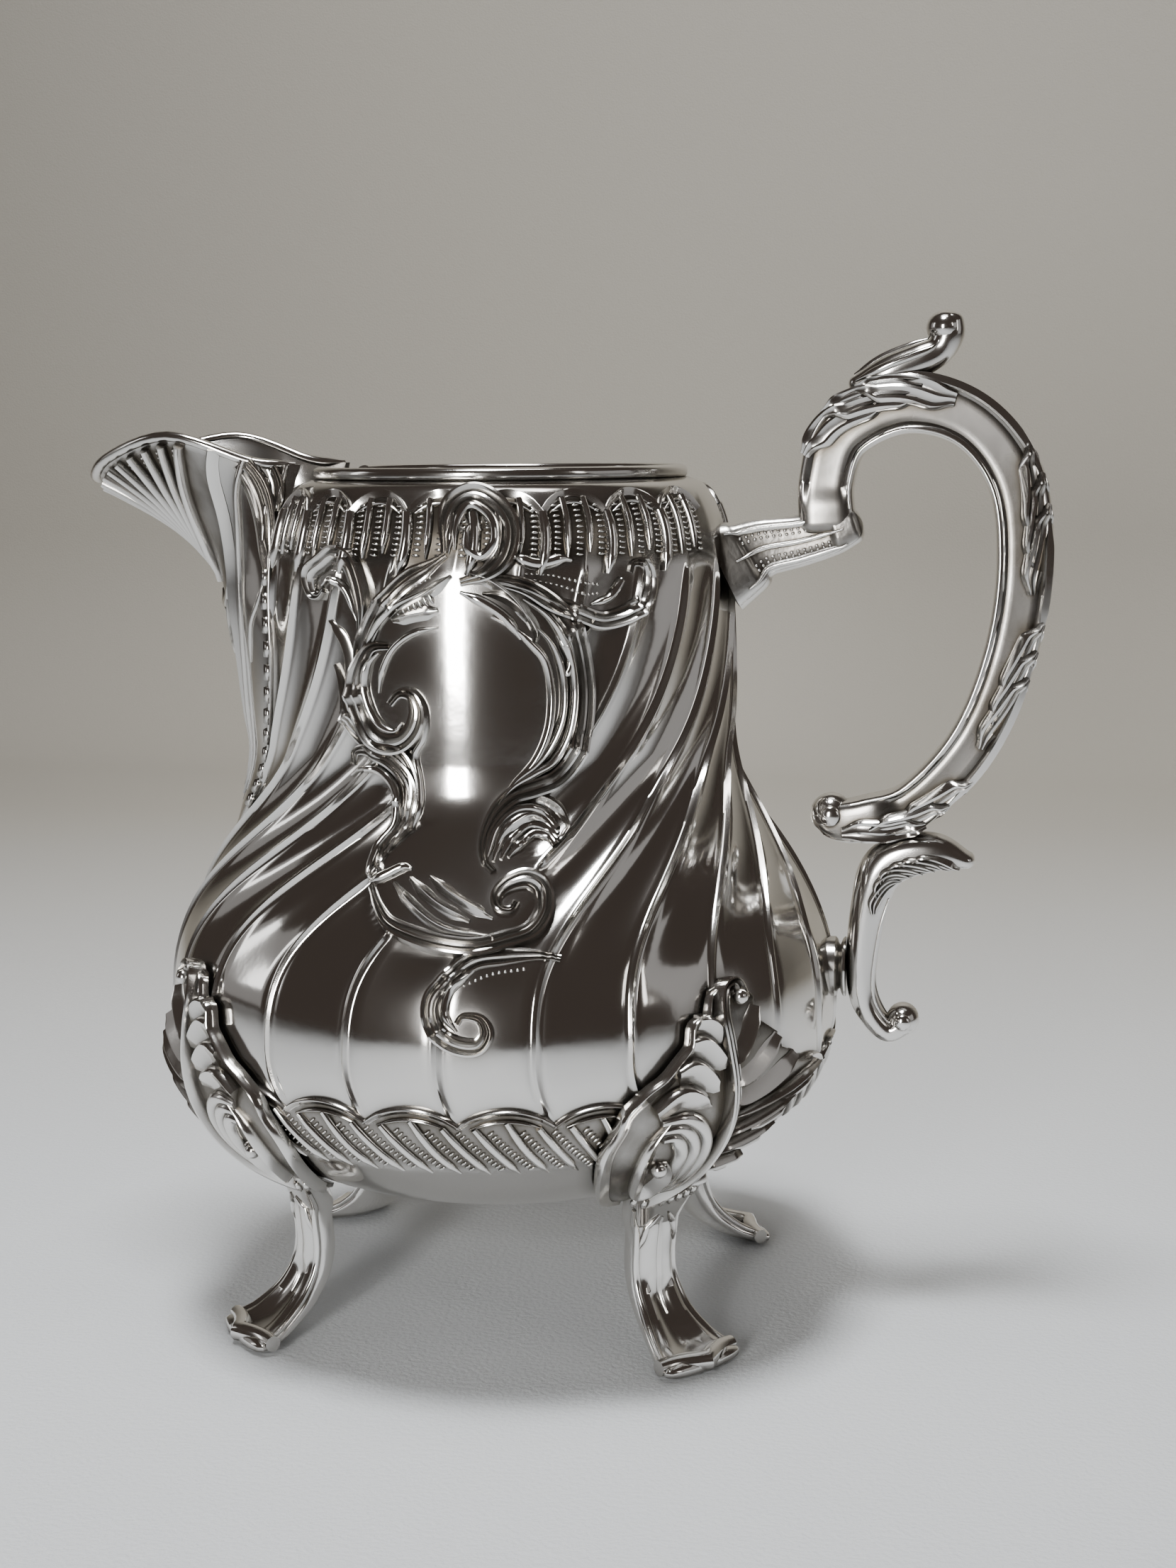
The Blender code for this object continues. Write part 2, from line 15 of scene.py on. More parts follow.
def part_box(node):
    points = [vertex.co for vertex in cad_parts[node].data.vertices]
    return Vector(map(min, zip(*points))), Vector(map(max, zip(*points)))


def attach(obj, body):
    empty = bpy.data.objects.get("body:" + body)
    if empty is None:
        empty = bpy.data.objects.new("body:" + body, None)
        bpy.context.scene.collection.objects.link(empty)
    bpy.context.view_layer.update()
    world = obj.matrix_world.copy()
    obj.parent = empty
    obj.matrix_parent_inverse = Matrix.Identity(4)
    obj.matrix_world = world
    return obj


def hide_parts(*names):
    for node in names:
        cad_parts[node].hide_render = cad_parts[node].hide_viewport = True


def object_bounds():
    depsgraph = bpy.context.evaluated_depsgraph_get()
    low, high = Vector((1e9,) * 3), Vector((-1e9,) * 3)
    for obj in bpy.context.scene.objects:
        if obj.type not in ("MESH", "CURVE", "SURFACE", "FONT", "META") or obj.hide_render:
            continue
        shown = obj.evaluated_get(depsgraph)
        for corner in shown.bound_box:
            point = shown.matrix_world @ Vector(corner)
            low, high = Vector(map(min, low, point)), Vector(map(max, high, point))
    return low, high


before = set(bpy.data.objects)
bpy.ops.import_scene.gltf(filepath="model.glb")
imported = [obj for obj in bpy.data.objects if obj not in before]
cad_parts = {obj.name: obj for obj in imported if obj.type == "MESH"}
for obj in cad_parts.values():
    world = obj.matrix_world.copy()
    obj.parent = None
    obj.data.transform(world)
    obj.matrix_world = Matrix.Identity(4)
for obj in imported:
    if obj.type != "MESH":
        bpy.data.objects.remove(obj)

bl_info = {
    "name": "Silver Cream Jug",
    "version": (1, 0, 0),
    "blender": (4, 5, 0),
    "location": "View3D > Sidebar > Cream Jug",
    "description": "Builds a footed, swirl-fluted silver cream jug round its packed frame",
    "category": "Add Mesh",
}

CAD_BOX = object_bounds()
BODY_LOW, BODY_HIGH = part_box("body_shell")
BAND_LOW, BAND_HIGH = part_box("rim_band")
SPOUT_LOW, SPOUT_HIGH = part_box("spout")
LOOP_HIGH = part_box("handle_loop")[1]
SPOOL_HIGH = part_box("handle_spool")[1]
AXIS_X = (BODY_LOW.x + BODY_HIGH.x) / 2
MM = 0.001
# Azimuths by which the near cartouche is turned to make the two of them
SIDES = (0, 180)
# Each leg's azimuth, and the side of it on which its leaf fans out
LEGS = {"handle_near": (-40, 1), "handle_far": (40, -1), "spout_near": (-140, -1), "spout_far": (140, 1)}


# ---------------------------------------------------------------- sizes and finishes

def length(name, description, default):
    return bpy.props.FloatProperty(name=name, description=description, default=default, min=0.0,
                                   subtype="DISTANCE", unit="LENGTH", precision=4)


class JugSizes(bpy.types.PropertyGroup):
    """The driving sizes of the visible silver."""
    rim_height: length("Rim height", "Top of the rim band above the table", BAND_HIGH.z)
    rim_radius: length("Rim radius", "Outer radius of the rim band", (BAND_HIGH.y - BAND_LOW.y) / 2)
    belly_radius: length("Belly radius", "Widest radius of the body", (BODY_HIGH.y - BODY_LOW.y) / 2)
    belly_height: length("Belly height", "Height of the widest place", 0.040)
    waist_height: length("Waist height", "Where the belly's curve runs into the neck", 0.072)
    neck_radius: length("Neck radius", "Radius of the neck", 0.0286)
    shoulder_height: length("Shoulder height", "Where the neck turns in to the rim", 0.086)
    base_height: length("Base height", "Underside of the body above the table", BODY_LOW.z)
    wall: length("Wall", "Thickness of the raised sheet", 0.00095)
    flute_depth: length("Flute depth", "Depth of the swirl flutes in the neck", 0.00105)
    flutes: bpy.props.IntProperty(name="Flutes", description="Swirl flutes round the body",
                                  default=24, min=8)
    scallops: bpy.props.IntProperty(name="Scallops", description="Scallops in the band under the rim",
                                    default=22, min=8)


def share(name, description, default):
    return bpy.props.FloatProperty(name=name, description=description, default=default,
                                   min=0.0, max=1.0, subtype="FACTOR")


def colour(name, description, default):
    return bpy.props.FloatVectorProperty(name=name, description=description, default=default,
                                         size=3, min=0.0, max=1.0, subtype="COLOR")


class JugFinish(bpy.types.PropertyGroup):
    """The colours and polish of the silver."""
    silver: colour("Silver", "Clean polished silver", (0.80, 0.785, 0.76))
    # Dark colour of tarnish, also used for the painted shade on the handle's cheeks
    tarnish_and_shade: colour("Tarnish", "Dark left in the recesses", (0.10, 0.088, 0.072))
    polished: share("Polished roughness", "Roughness of the body", 0.105)
    cast: share("Cast roughness", "Roughness of the castings", 0.13)
    matted: share("Matted roughness", "Roughness of the stippled arm", 0.26)


class JugStage(bpy.types.PropertyGroup):
    """The table, the backdrop and the camera."""
    cloth: colour("Table", "Pale cloth on the table", (0.66, 0.68, 0.70))
    backdrop: colour("Backdrop", "The same cloth where it rises behind", (0.56, 0.54, 0.49))
    surroundings: colour("Surroundings", "Dark room that the silver reflects", (0.050, 0.040, 0.034))
    table_front: bpy.props.FloatProperty(name="Table front", description="Y of the table's front edge",
                                         default=-0.42, subtype="DISTANCE", unit="LENGTH")
    table_back: bpy.props.FloatProperty(name="Table back", description="Y where the cloth starts to rise",
                                        default=0.44, subtype="DISTANCE", unit="LENGTH")
    key_power: bpy.props.FloatProperty(name="Key power", description="Power of the key light in watts",
                                       default=6.0, min=0.0)
    lens: bpy.props.FloatProperty(name="Lens", description="Focal length of the camera in millimetres",
                                  default=51.6, min=10.0)


# ---------------------------------------------------------------- mesh helpers

class Soup:
    """Vertices and faces gathered from many closed shapes, in millimetres."""

    def __init__(self):
        self.points, self.faces, self.patina, self.count = [], [], [], 0

    def add(self, points, faces, patina=0.0):
        """Adds a closed shape; the last argument, for one point or for all, is how dark its struck ground is
        tarnished, and on the handle's cheeks also painted shade for the dark room they reflect.
        """
        points = np.asarray(points, float).reshape(-1, 3)
        self.patina.append(np.broadcast_to(np.asarray(patina, float).ravel(), len(points)))
        self.faces.extend([tuple(int(i) + self.count for i in face) for face in faces])
        self.points.append(points)
        self.count += len(points)


def make_mesh(name, soup, sharp=40.0):
    """An object at the origin from a soup, its normals turned outwards and its creases kept."""
    mesh = bpy.data.meshes.new(name)
    points = np.vstack(soup.points) * MM
    points[:, 0] += AXIS_X
    mesh.from_pydata(points, [], soup.faces)
    solid = bmesh.new()
    solid.from_mesh(mesh)
    bmesh.ops.recalc_face_normals(solid, faces=solid.faces)
    solid.to_mesh(mesh)
    solid.free()
    # Per-point darkening: tarnish of struck ground, plus painted shade on the handle's cheeks
    mesh.attributes.new("patina", "FLOAT", "POINT").data.foreach_set("value", np.concatenate(soup.patina))
    mesh.shade_smooth()
    mesh.set_sharp_from_angle(angle=math.radians(sharp))
    obj = bpy.data.objects.new(name, mesh)
    bpy.context.scene.collection.objects.link(obj)
    return obj


def add_piece(obj, material, slot, *nodes):
    """Gives a finished piece its material and ties it to the frame."""
    obj.data.materials.clear()
    obj.data.materials.append(material)
    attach(obj, "root")
    if nodes:
        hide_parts(*nodes)
    return obj


def catmull(points, spans):
    """A smooth curve of any number of columns through the given rows."""
    points = np.asarray(points, float)
    ends = np.vstack([2 * points[0] - points[1], points, 2 * points[-1] - points[-2]])
    a, b, c, d = ends[:-3], ends[1:-2], ends[2:-1], ends[3:]
    t = (np.arange(spans) / spans)[None, :, None]
    a, b, c, d = (row[:, None, :] for row in (a, b, c, d))
    curve = 0.5 * (2 * b + (c - a) * t + (2 * a - 5 * b + 4 * c - d) * t**2 + (3 * b - a - 3 * c + d) * t**3)
    return np.vstack([curve.reshape(-1, points.shape[1]), points[-1:]])


def unit(vectors):
    return vectors / np.maximum(np.linalg.norm(vectors, axis=-1, keepdims=True), 1e-12)


def half_turn(angle):
    """The same angle in degrees, brought between -180 and 180."""
    return (angle + 180) % 360 - 180


def smoothstep(low, high, value):
    t = np.clip((value - low) / (high - low), 0, 1)
    return t * t * (3 - 2 * t)


def grid_faces(rows, columns, wrap=False, start=0):
    """Quads over a grid of points stored row by row."""
    last = columns if wrap else columns - 1
    return [(start + i * columns + j, start + i * columns + (j + 1) % columns,
             start + (i + 1) * columns + (j + 1) % columns, start + (i + 1) * columns + j)
            for i in range(rows - 1) for j in range(last)]


def add_rings(soup, rings, patina=0.0):
    """A closed tube over rings of points that run round the way that faces it outwards."""
    rings = np.asarray(rings)
    rows, columns = rings.shape[:2]
    faces = grid_faces(rows, columns, wrap=True)
    faces.append(tuple(range(columns))[::-1])
    faces.append(tuple((rows - 1) * columns + j for j in range(columns)))
    soup.add(rings, faces, patina)


def add_sheet(soup, outer, inner, patina=None):
    """A sheet with thickness: two grids of points, the outer one first, closed round their edges."""
    outer, inner = np.asarray(outer), np.asarray(inner)
    rows, columns = outer.shape[:2]
    back = rows * columns
    faces = grid_faces(rows, columns)
    faces += [face[::-1] for face in grid_faces(rows, columns, start=back)]
    border = list(range(columns)) + [i * columns + columns - 1 for i in range(1, rows)]
    border += [(rows - 1) * columns + j for j in range(columns - 2, -1, -1)]
    border += [i * columns for i in range(rows - 2, 0, -1)]
    faces += [(k, i, back + i, back + k) for i, k in zip(border, border[1:] + border[:1])]
    struck = np.zeros((rows, columns)) if patina is None else np.broadcast_to(patina, (rows, columns))
    soup.add(np.vstack([outer.reshape(-1, 3), inner.reshape(-1, 3)]), faces, np.tile(struck.ravel(), 2))


# Cross-sections of a raised stroke, as (across, up) shares; the first and last points are buried
RIDGE = ((-1, -0.5), (-1, 0.02), (-0.82, 0.52), (-0.45, 0.88), (0, 1), (0.45, 0.88), (0.82, 0.52), (1, 0.02),
         (1, -0.5))
KNIFE = ((-1, -0.5), (-1, 0.0), (-0.45, 0.3), (-0.12, 0.9), (0, 1), (0.12, 0.9), (0.45, 0.3), (1, 0.0),
         (1, -0.5))
REED = ((-1, -0.5), (-1, 0.0), (-0.86, 0.40), (-0.68, 0.44), (-0.52, 0.16), (-0.38, 0.30), (-0.14, 0.74),
        (0.06, 0.70), (0.20, 0.36), (0.38, 0.50), (0.60, 1.0), (0.80, 0.94), (1, 0.1), (1, -0.5))
STEP = ((-1, -0.5), (-1, 0.05), (-0.5, 0.25), (0.35, 0.9), (0.62, 1), (0.85, 0.8), (1, 0.05), (1, -0.5))


def add_stroke(soup, surface, points, half_width, height, section=RIDGE, spans=7, taper=(0.35, 0.35),
               bury=0.35):
    """A raised line on a surface, through (u, v) or (u, v, swell) points, narrowed towards its ends.

    The section's right-hand side is laid along the outside of the bend.
    """
    rows = [tuple(point) + (1.0,) * (3 - len(point)) for point in points]
    path = catmull(rows, spans)
    base = surface.at(path[:, 0], path[:, 1], 0.0)
    normal = unit(surface.at(path[:, 0], path[:, 1], 0.5) - base)
    tangent = unit(np.gradient(base, axis=0))
    across = unit(np.cross(normal, tangent))
    run = np.r_[0, np.cumsum(np.linalg.norm(np.diff(base, axis=0), axis=1))]
    run /= run[-1]
    swell = path[:, 2] * (taper[0] + (1 - taper[0]) * smoothstep(0, 0.25, run))
    swell *= taper[1] + (1 - taper[1]) * smoothstep(0, 0.25, 1 - run)
    profile = np.array(section)
    bend = np.sum(np.cross(tangent[:-1], tangent[1:]) * normal[:-1])
    if bend > 0:
        profile = profile * (-1, 1)
    side = across[:, None, :] * (profile[None, :, 0] * half_width * swell[:, None])[..., None]
    lift = np.where(profile[None, :, 1] < 0, -bury, profile[None, :, 1] * height * swell[:, None] ** 0.7)
    rings = base[:, None, :] + side + normal[:, None, :] * lift[..., None]
    add_rings(soup, outward(rings))


def add_strokes(soup, surface, strokes, wider=1.0, higher=1.0, reeded_wider=1.0, bury=0.35):
    """Strokes given as (half width, height, section, points), with spans and taper where they differ."""
    for half_width, height, section, points, *more in strokes:
        width = wider * half_width * (reeded_wider if section is REED else 1)
        add_stroke(soup, surface, points, width, higher * height, section, *more, bury=bury)


def outward(rings):
    """The rings, each reversed if their tube would otherwise face inwards."""
    middle = len(rings) // 2
    ring, centre = rings[middle], rings[middle].mean(axis=0)
    ahead = rings[min(middle + 1, len(rings) - 1)].mean(axis=0) - rings[middle - 1].mean(axis=0)
    area = sum(np.cross(a - centre, b - centre) for a, b in zip(ring, np.roll(ring, -1, axis=0)))
    return rings[:, ::-1] if float(area @ ahead) < 0 else rings


# ---------------------------------------------------------------- the body's surface

# Azimuth of the flutes' start, turned backwards, and the step in mm over which a slope is taken
FIRST_FLUTE, NUDGE = 73.6, 0.02
# How square the profile stands where the belly turns under and where the neck turns in to the rim
BASE_POWER, SHOULDER_POWER = 2.4, 2.3
# Azimuth of the near cartouche
NEAR_SIDE = -86
# The scalloped edges of the two chased bands: height at the cusps, rise of each arc and its roundness
UPPER_START, UPPER_EDGE = 100.6, (99.9, 2.2, 0.7)
LOWER_START, LOWER_EDGE = 70.6, (33.7, 1.9, 0.75)
# How dark the ground of each band is struck
UPPER_PATINA, LOWER_PATINA = 0.85, 0.72


def scallop_edge(place, cusp, rise, roundness):
    """Height of a scalloped edge where `place` counts scallops."""
    share_along = place - np.floor(place)
    return cusp + rise * np.sin(np.pi * share_along) ** roundness


class BodyForm:
    """The body as a surface over (azimuth in degrees, height in mm)."""

    def __init__(self, sizes):
        self.rim_height, self.rim_radius = sizes.rim_height / MM, sizes.rim_radius / MM
        self.belly_radius, self.belly_height = sizes.belly_radius / MM, sizes.belly_height / MM
        self.waist, self.neck_radius = sizes.waist_height / MM, sizes.neck_radius / MM
        self.shoulder, self.base = sizes.shoulder_height / MM, sizes.base_height / MM
        self.seat = BAND_LOW.z / MM
        self.wall, self.flute_depth = round(sizes.wall / MM, 4), sizes.flute_depth / MM
        self.flutes, self.scallops = sizes.flutes, sizes.scallops
        self.fluted = True

    def radius(self, height):
        height = np.asarray(height, float)
        drop = np.clip((self.belly_height - height) / (self.belly_height - self.base), 0, 1)
        belly = self.belly_radius * (1 - drop**BASE_POWER) ** (1 / BASE_POWER)
        rise = np.clip((height - self.belly_height) / (self.waist - self.belly_height), 0, 1)
        swell = (1 + np.cos(np.pi * rise**1.2)) / 2
        neck = self.neck_radius + (self.belly_radius - self.neck_radius) * swell
        turn = np.clip((height - self.shoulder) / (self.seat - self.shoulder), 0, 1)
        inward = (1 - turn**SHOULDER_POWER) ** (1 / SHOULDER_POWER)
        shoulder = self.rim_radius + (self.neck_radius - self.rim_radius) * inward
        return np.where(height <= self.belly_height, belly, np.where(height <= self.shoulder, neck, shoulder))

    def swirl(self, height):
        """How far the flutes have turned at a height: a lazy S from the belly to the shoulder."""
        turned = 64 * np.exp(-np.exp(5.98 - 0.0935 * height))
        return turned + 3 * (np.clip(41 - height, 0, 8) / 7) ** 2

    def smooth_patch(self, azimuth, height):
        """1 inside the two cartouches, whose ground is plain, and 0 on the flutes."""
        inside = np.zeros(np.broadcast(azimuth, height).shape)
        for turn in SIDES:
            away = half_turn(np.asarray(azimuth) - NEAR_SIDE - turn)
            oval = (away / 26) ** 2 + ((height - 79.5) / 15.5) ** 2
            scroll = ((away + 1) / 17) ** 2 + ((height - 59.5) / 7) ** 2
            inside = np.maximum(inside, 1 - smoothstep(0.8, 1.12, np.minimum(oval, scroll)))
        return inside

    def relief(self, azimuth, height):
        """Height of the flutes' ridges over their channels, in mm from the plain form."""
        step = 360 / self.flutes
        phase = (azimuth + FIRST_FLUTE - self.swirl(height)) / step
        place = phase - np.floor(phase)
        edge = np.minimum(place, 1 - place) * math.radians(step) * self.radius(height)
        depth = self.flute_depth * (0.16 + 0.84 * smoothstep(46, 60, height))
        depth = depth * smoothstep(31, 36, height) * (1 - smoothstep(90, 98, height))
        channel = -depth * (1 - np.abs(2 * place - 1) ** 2.2) + 0.28 * depth
        line = smoothstep(33.5, 36, height) * (1 - smoothstep(90, 96, height))
        crease = line * (0.20 * np.exp(-((edge / 0.22) ** 2)) - 0.16 * np.exp(-(((edge - 0.62) / 0.24) ** 2)))
        flat = self.smooth_patch(azimuth, height)
        return (channel + crease) * (1 - flat)

    def struck_ground(self, azimuth, height):
        """How dark the ground is under the two chased bands: it stops at their scalloped edges."""
        azimuth = np.asarray(azimuth, float)
        upper_edge = scallop_edge((azimuth + UPPER_START) * self.scallops / 360, *UPPER_EDGE)
        lower_edge = scallop_edge((azimuth + LOWER_START) * self.flutes / 360, *LOWER_EDGE)
        upper = smoothstep(93.6, 95.4, height) * (1 - smoothstep(upper_edge - 0.5, upper_edge, height))
        lower = smoothstep(27.2, 28.8, height) * (1 - smoothstep(lower_edge - 0.5, lower_edge, height))
        from_arm = np.abs(half_turn(azimuth))
        return UPPER_PATINA * upper * smoothstep(12, 15, from_arm) + LOWER_PATINA * lower

    def at(self, azimuth, height, lift):
        azimuth, height = np.broadcast_arrays(np.asarray(azimuth, float), np.asarray(height, float))
        slope = (self.radius(height + NUDGE) - self.radius(height - NUDGE)) / (2 * NUDGE)
        size = np.hypot(1, slope)
        off = lift + (self.relief(azimuth, height) if self.fluted else 0.0)
        radius, turn = self.radius(height) + off / size, np.radians(azimuth)
        return np.stack([radius * np.cos(turn), radius * np.sin(turn), height - slope * off / size], axis=-1)


class Turned:
    """Another surface, turned about the jug's axis."""

    def __init__(self, surface, turn):
        self.surface, self.turn = surface, turn

    def at(self, azimuth, height, lift):
        return self.surface.at(np.asarray(azimuth, float) + self.turn, height, lift)


class SpoutForm:
    """The spout as a surface: u runs from -1 to 1 round it (near side positive), v from foot to lip."""

    # (share of the height to the throat, stand-off from the body, share of the full spread)
    ROWS = ((0, 1.2, 0.12), (0.15, 2.5, 0.42), (0.42, 3.4, 0.83), (0.71, 4.8, 1.0), (1, 7.5, 0.97))
    # Columns to each side of the nose, half angle at the throat, and the throat's depth under the rim
    COLUMNS, HALF_ANGLE, THROAT_DEPTH = 24, 29.5, 13
    # Rows of the flare over the throat, the nose's drop under the rim, and the lip's roll beyond the wall
    FLARE_ROWS, NOSE_DROP, ROLL = 34, 1.4, 0.9

    def __init__(self, body, inset=0.0):
        self.body, self.inset = body, inset
        self.foot, self.rim = SPOUT_LOW.z / MM + 0.1, body.rim_height
        self.tip = (AXIS_X - SPOUT_LOW.x) / MM
        self.half_width = (SPOUT_HIGH.y - SPOUT_LOW.y) / 2 / MM - self.ROLL
        self.apex = SPOUT_HIGH.z / MM
        throat, rows = self.rim - self.THROAT_DEPTH, []
        for part, stand_off, spread in catmull(self.ROWS, 5):
            rows.append(self.section(self.foot + part * (throat - self.foot), stand_off - inset, spread))
        low, high = rows[-1], self.lip()
        for step in range(1, self.FLARE_ROWS + 1):
            rise = step / self.FLARE_ROWS
            flare = 0.26 * rise + 0.74 * rise**2
            across = low[:, :2] + (high[:, :2] - low[:, :2]) * flare
            rows.append(np.column_stack([across, low[:, 2] + (high[:, 2] - low[:, 2]) * rise]))
        grid = np.array(rows)
        along = np.r_[0, np.cumsum(np.linalg.norm(np.diff(grid[:, self.COLUMNS], axis=0), axis=1))]
        self.grid, self.places = grid, along / along[-1]
        self.normals = unit(np.cross(np.gradient(grid, axis=0), np.gradient(grid, axis=1)))
        if self.normals[len(rows) // 2, self.COLUMNS, 0] > 0:
            self.normals = -self.normals

    def section(self, height, stand_off, spread):
        """A level cut from the joint at one side round the nose to the other."""
        radius = float(self.body.radius(height))
        half = math.radians(self.HALF_ANGLE * spread) - self.inset / radius
        joint_x, joint_y = -radius * math.cos(half), radius * math.sin(half)
        angle = np.pi / 2 * np.arange(-self.COLUMNS, self.COLUMNS + 1) / self.COLUMNS
        forward = np.cos(angle) ** (2 / 1.5)
        side = np.sign(angle) * np.abs(np.sin(angle)) ** (2 / 1.5)
        x = joint_x + (-radius - stand_off - joint_x) * forward
        return np.column_stack([x, -joint_y * side, np.full_like(x, height)])

    def lip(self):
        back, tip = -self.body.rim_radius, self.inset - self.tip
        wide, nose = self.half_width - self.inset, self.rim - self.NOSE_DROP
        half = [(back, 0.84 * wide, self.rim + 0.35),
                (back + 0.17 * (tip - back), 0.97 * wide, self.rim + 0.7),
                (back + 0.52 * (tip - back), wide, self.apex),
                (back + 0.86 * (tip - back), 0.60 * wide, (self.apex + self.rim - self.NOSE_DROP) / 2)]
        points = half + [(tip, 0, nose)] + [(x, -y, z) for x, y, z in half[::-1]]
        fine = catmull(points, self.COLUMNS)
        return fine[np.linspace(0, len(fine) - 1, 2 * self.COLUMNS + 1).round().astype(int)]

    def at(self, u, v, lift):
        u, v = np.broadcast_arrays(np.clip(np.asarray(u, float), -1, 1), np.clip(np.asarray(v, float), 0, 1))
        rows, columns = self.grid.shape[:2]
        i = np.interp(v, self.places, np.arange(rows))
        j = (u + 1) / 2 * (columns - 1)
        i0, j0 = np.clip(i.astype(int), 0, rows - 2), np.clip(j.astype(int), 0, columns - 2)
        a, b = (i - i0)[..., None], (j - j0)[..., None]

        def blended(field):
            return ((field[i0, j0] * (1 - b) + field[i0, j0 + 1] * b) * (1 - a)
                    + (field[i0 + 1, j0] * (1 - b) + field[i0 + 1, j0 + 1] * b) * a)
        return blended(self.grid) + unit(blended(self.normals)) * np.asarray(lift)[..., None]


class BarForm:
    """A bent bar as a surface: u is the share of its length, v the angle round it in degrees.

    Stations hold radius from the jug's axis, height, half depth and half width. Round the bar, 90 is
    the outside of the bend, 0 and 180 its two cheeks, and the whole bar stands at an azimuth.
    """

    def __init__(self, stations, azimuth=0.0, squareness=2.5, spans=10, relief=None):
        self.path = catmull(stations, spans)
        centres = self.path[:, :2]
        run = np.r_[0, np.cumsum(np.linalg.norm(np.diff(centres, axis=0), axis=1))]
        self.places = run / run[-1]
        self.tangents = unit(np.gradient(centres, axis=0))
        self.azimuth, self.power, self.relief = math.radians(azimuth), 2 / squareness, relief

    def at(self, u, v, lift):
        u, v = np.broadcast_arrays(np.asarray(u, float), np.asarray(v, float))
        radius, height, depth, width = (np.interp(u, self.places, self.path[:, k]) for k in range(4))
        tangent = unit(np.stack([np.interp(u, self.places, self.tangents[:, k]) for k in range(2)], axis=-1))
        angle = np.radians(v)
        across = np.sign(np.cos(angle)) * np.abs(np.cos(angle)) ** self.power
        along = np.sign(np.sin(angle)) * np.abs(np.sin(angle)) ** self.power
        grow = np.asarray(lift) + (self.relief(u, v) if self.relief else 0.0)
        reach = np.hypot(across, along)
        across, along = across * (width + grow / reach), along * (depth + grow / reach)
        out = radius - tangent[..., 1] * along
        up = height + tangent[..., 0] * along
        return np.stack([out * math.cos(self.azimuth) - across * math.sin(self.azimuth),
                         out * math.sin(self.azimuth) + across * math.cos(self.azimuth), up], axis=-1)

    def skin(self, rows, columns):
        """Rings of points over the whole bar."""
        u = np.linspace(0, 1, rows)[:, None]
        v = (360 * np.arange(columns) / columns)[None, :]
        return self.at(u, v, 0.0)


def add_bar(soup, bar, rows, columns, round_ends=(0.5, 0.5), cheeks=0.0):
    """A bar's skin and two soft end caps; `cheeks` is how dark its two flat sides are coloured: tarnish on
    their sunk ground, and painted shade standing for the dark room they reflect.
    """
    rings = bar.skin(rows, columns)
    caps = []
    for end, sign, bulge in ((0, -1, round_ends[0]), (rows - 1, 1, round_ends[1])):
        centre = rings[end].mean(axis=0)
        ahead = unit(rings[end].mean(axis=0) - rings[end - sign].mean(axis=0))
        size = np.linalg.norm(rings[end] - centre, axis=1).mean() * bulge
        caps.append([centre + (rings[end] - centre) * math.cos(a) + ahead * size * math.sin(a)
                     for a in map(math.radians, (25, 50, 72, 88))])
    rings = np.concatenate([np.array(caps[0][::-1]), rings, np.array(caps[1])])
    facing = np.abs(np.cos(2 * np.pi * np.arange(columns) / columns))
    # Cheek darkening: tarnish of the sunk ground plus painted shade for the dark room the cheeks reflect
    patina = np.broadcast_to(cheeks * smoothstep(0.72, 0.84, facing), rings.shape[:2])
    add_rings(soup, outward(rings), patina)


def add_ball(soup, centre, size, rows=12, columns=20):
    """A round bead, squashed to three half-sizes along X, Y and Z."""
    angles = np.pi * (np.arange(rows) + 0.5) / rows
    turns = 2 * np.pi * np.arange(columns) / columns
    rings = np.stack([np.sin(angles)[:, None] * np.cos(turns)[None, :] * size[0],
                      np.sin(angles)[:, None] * np.sin(turns)[None, :] * size[1],
                      -np.cos(angles)[:, None] * np.ones(columns)[None, :] * size[2]], axis=-1)
    add_rings(soup, rings + np.asarray(centre))


# ---------------------------------------------------------------- geometry nodes

def new_tree(name, inputs):
    """A geometry tree with the given (name, socket type, default) inputs."""
    tree = bpy.data.node_groups.new(name, "GeometryNodeTree")
    face = tree.interface
    face.new_socket("Geometry", in_out="INPUT", socket_type="NodeSocketGeometry")
    for label, kind, default in inputs:
        socket = face.new_socket(label, in_out="INPUT", socket_type=kind)
        if default is not None:
            socket.default_value = default
    face.new_socket("Geometry", in_out="OUTPUT", socket_type="NodeSocketGeometry")
    return tree


def node(tree, kind, settings=None, **links):
    """Adds a node; a link is a socket to connect or a value to set, named by the input's lower-case name."""
    made = tree.nodes.new(kind)
    for key, value in (settings or {}).items():
        setattr(made, key, value)
    for key, value in links.items():
        socket = next(s for s in made.inputs if s.enabled and s.name.lower().replace(" ", "_") == key)
        if isinstance(value, bpy.types.NodeSocket):
            tree.links.new(value, socket)
        else:
            socket.default_value = value
    return made


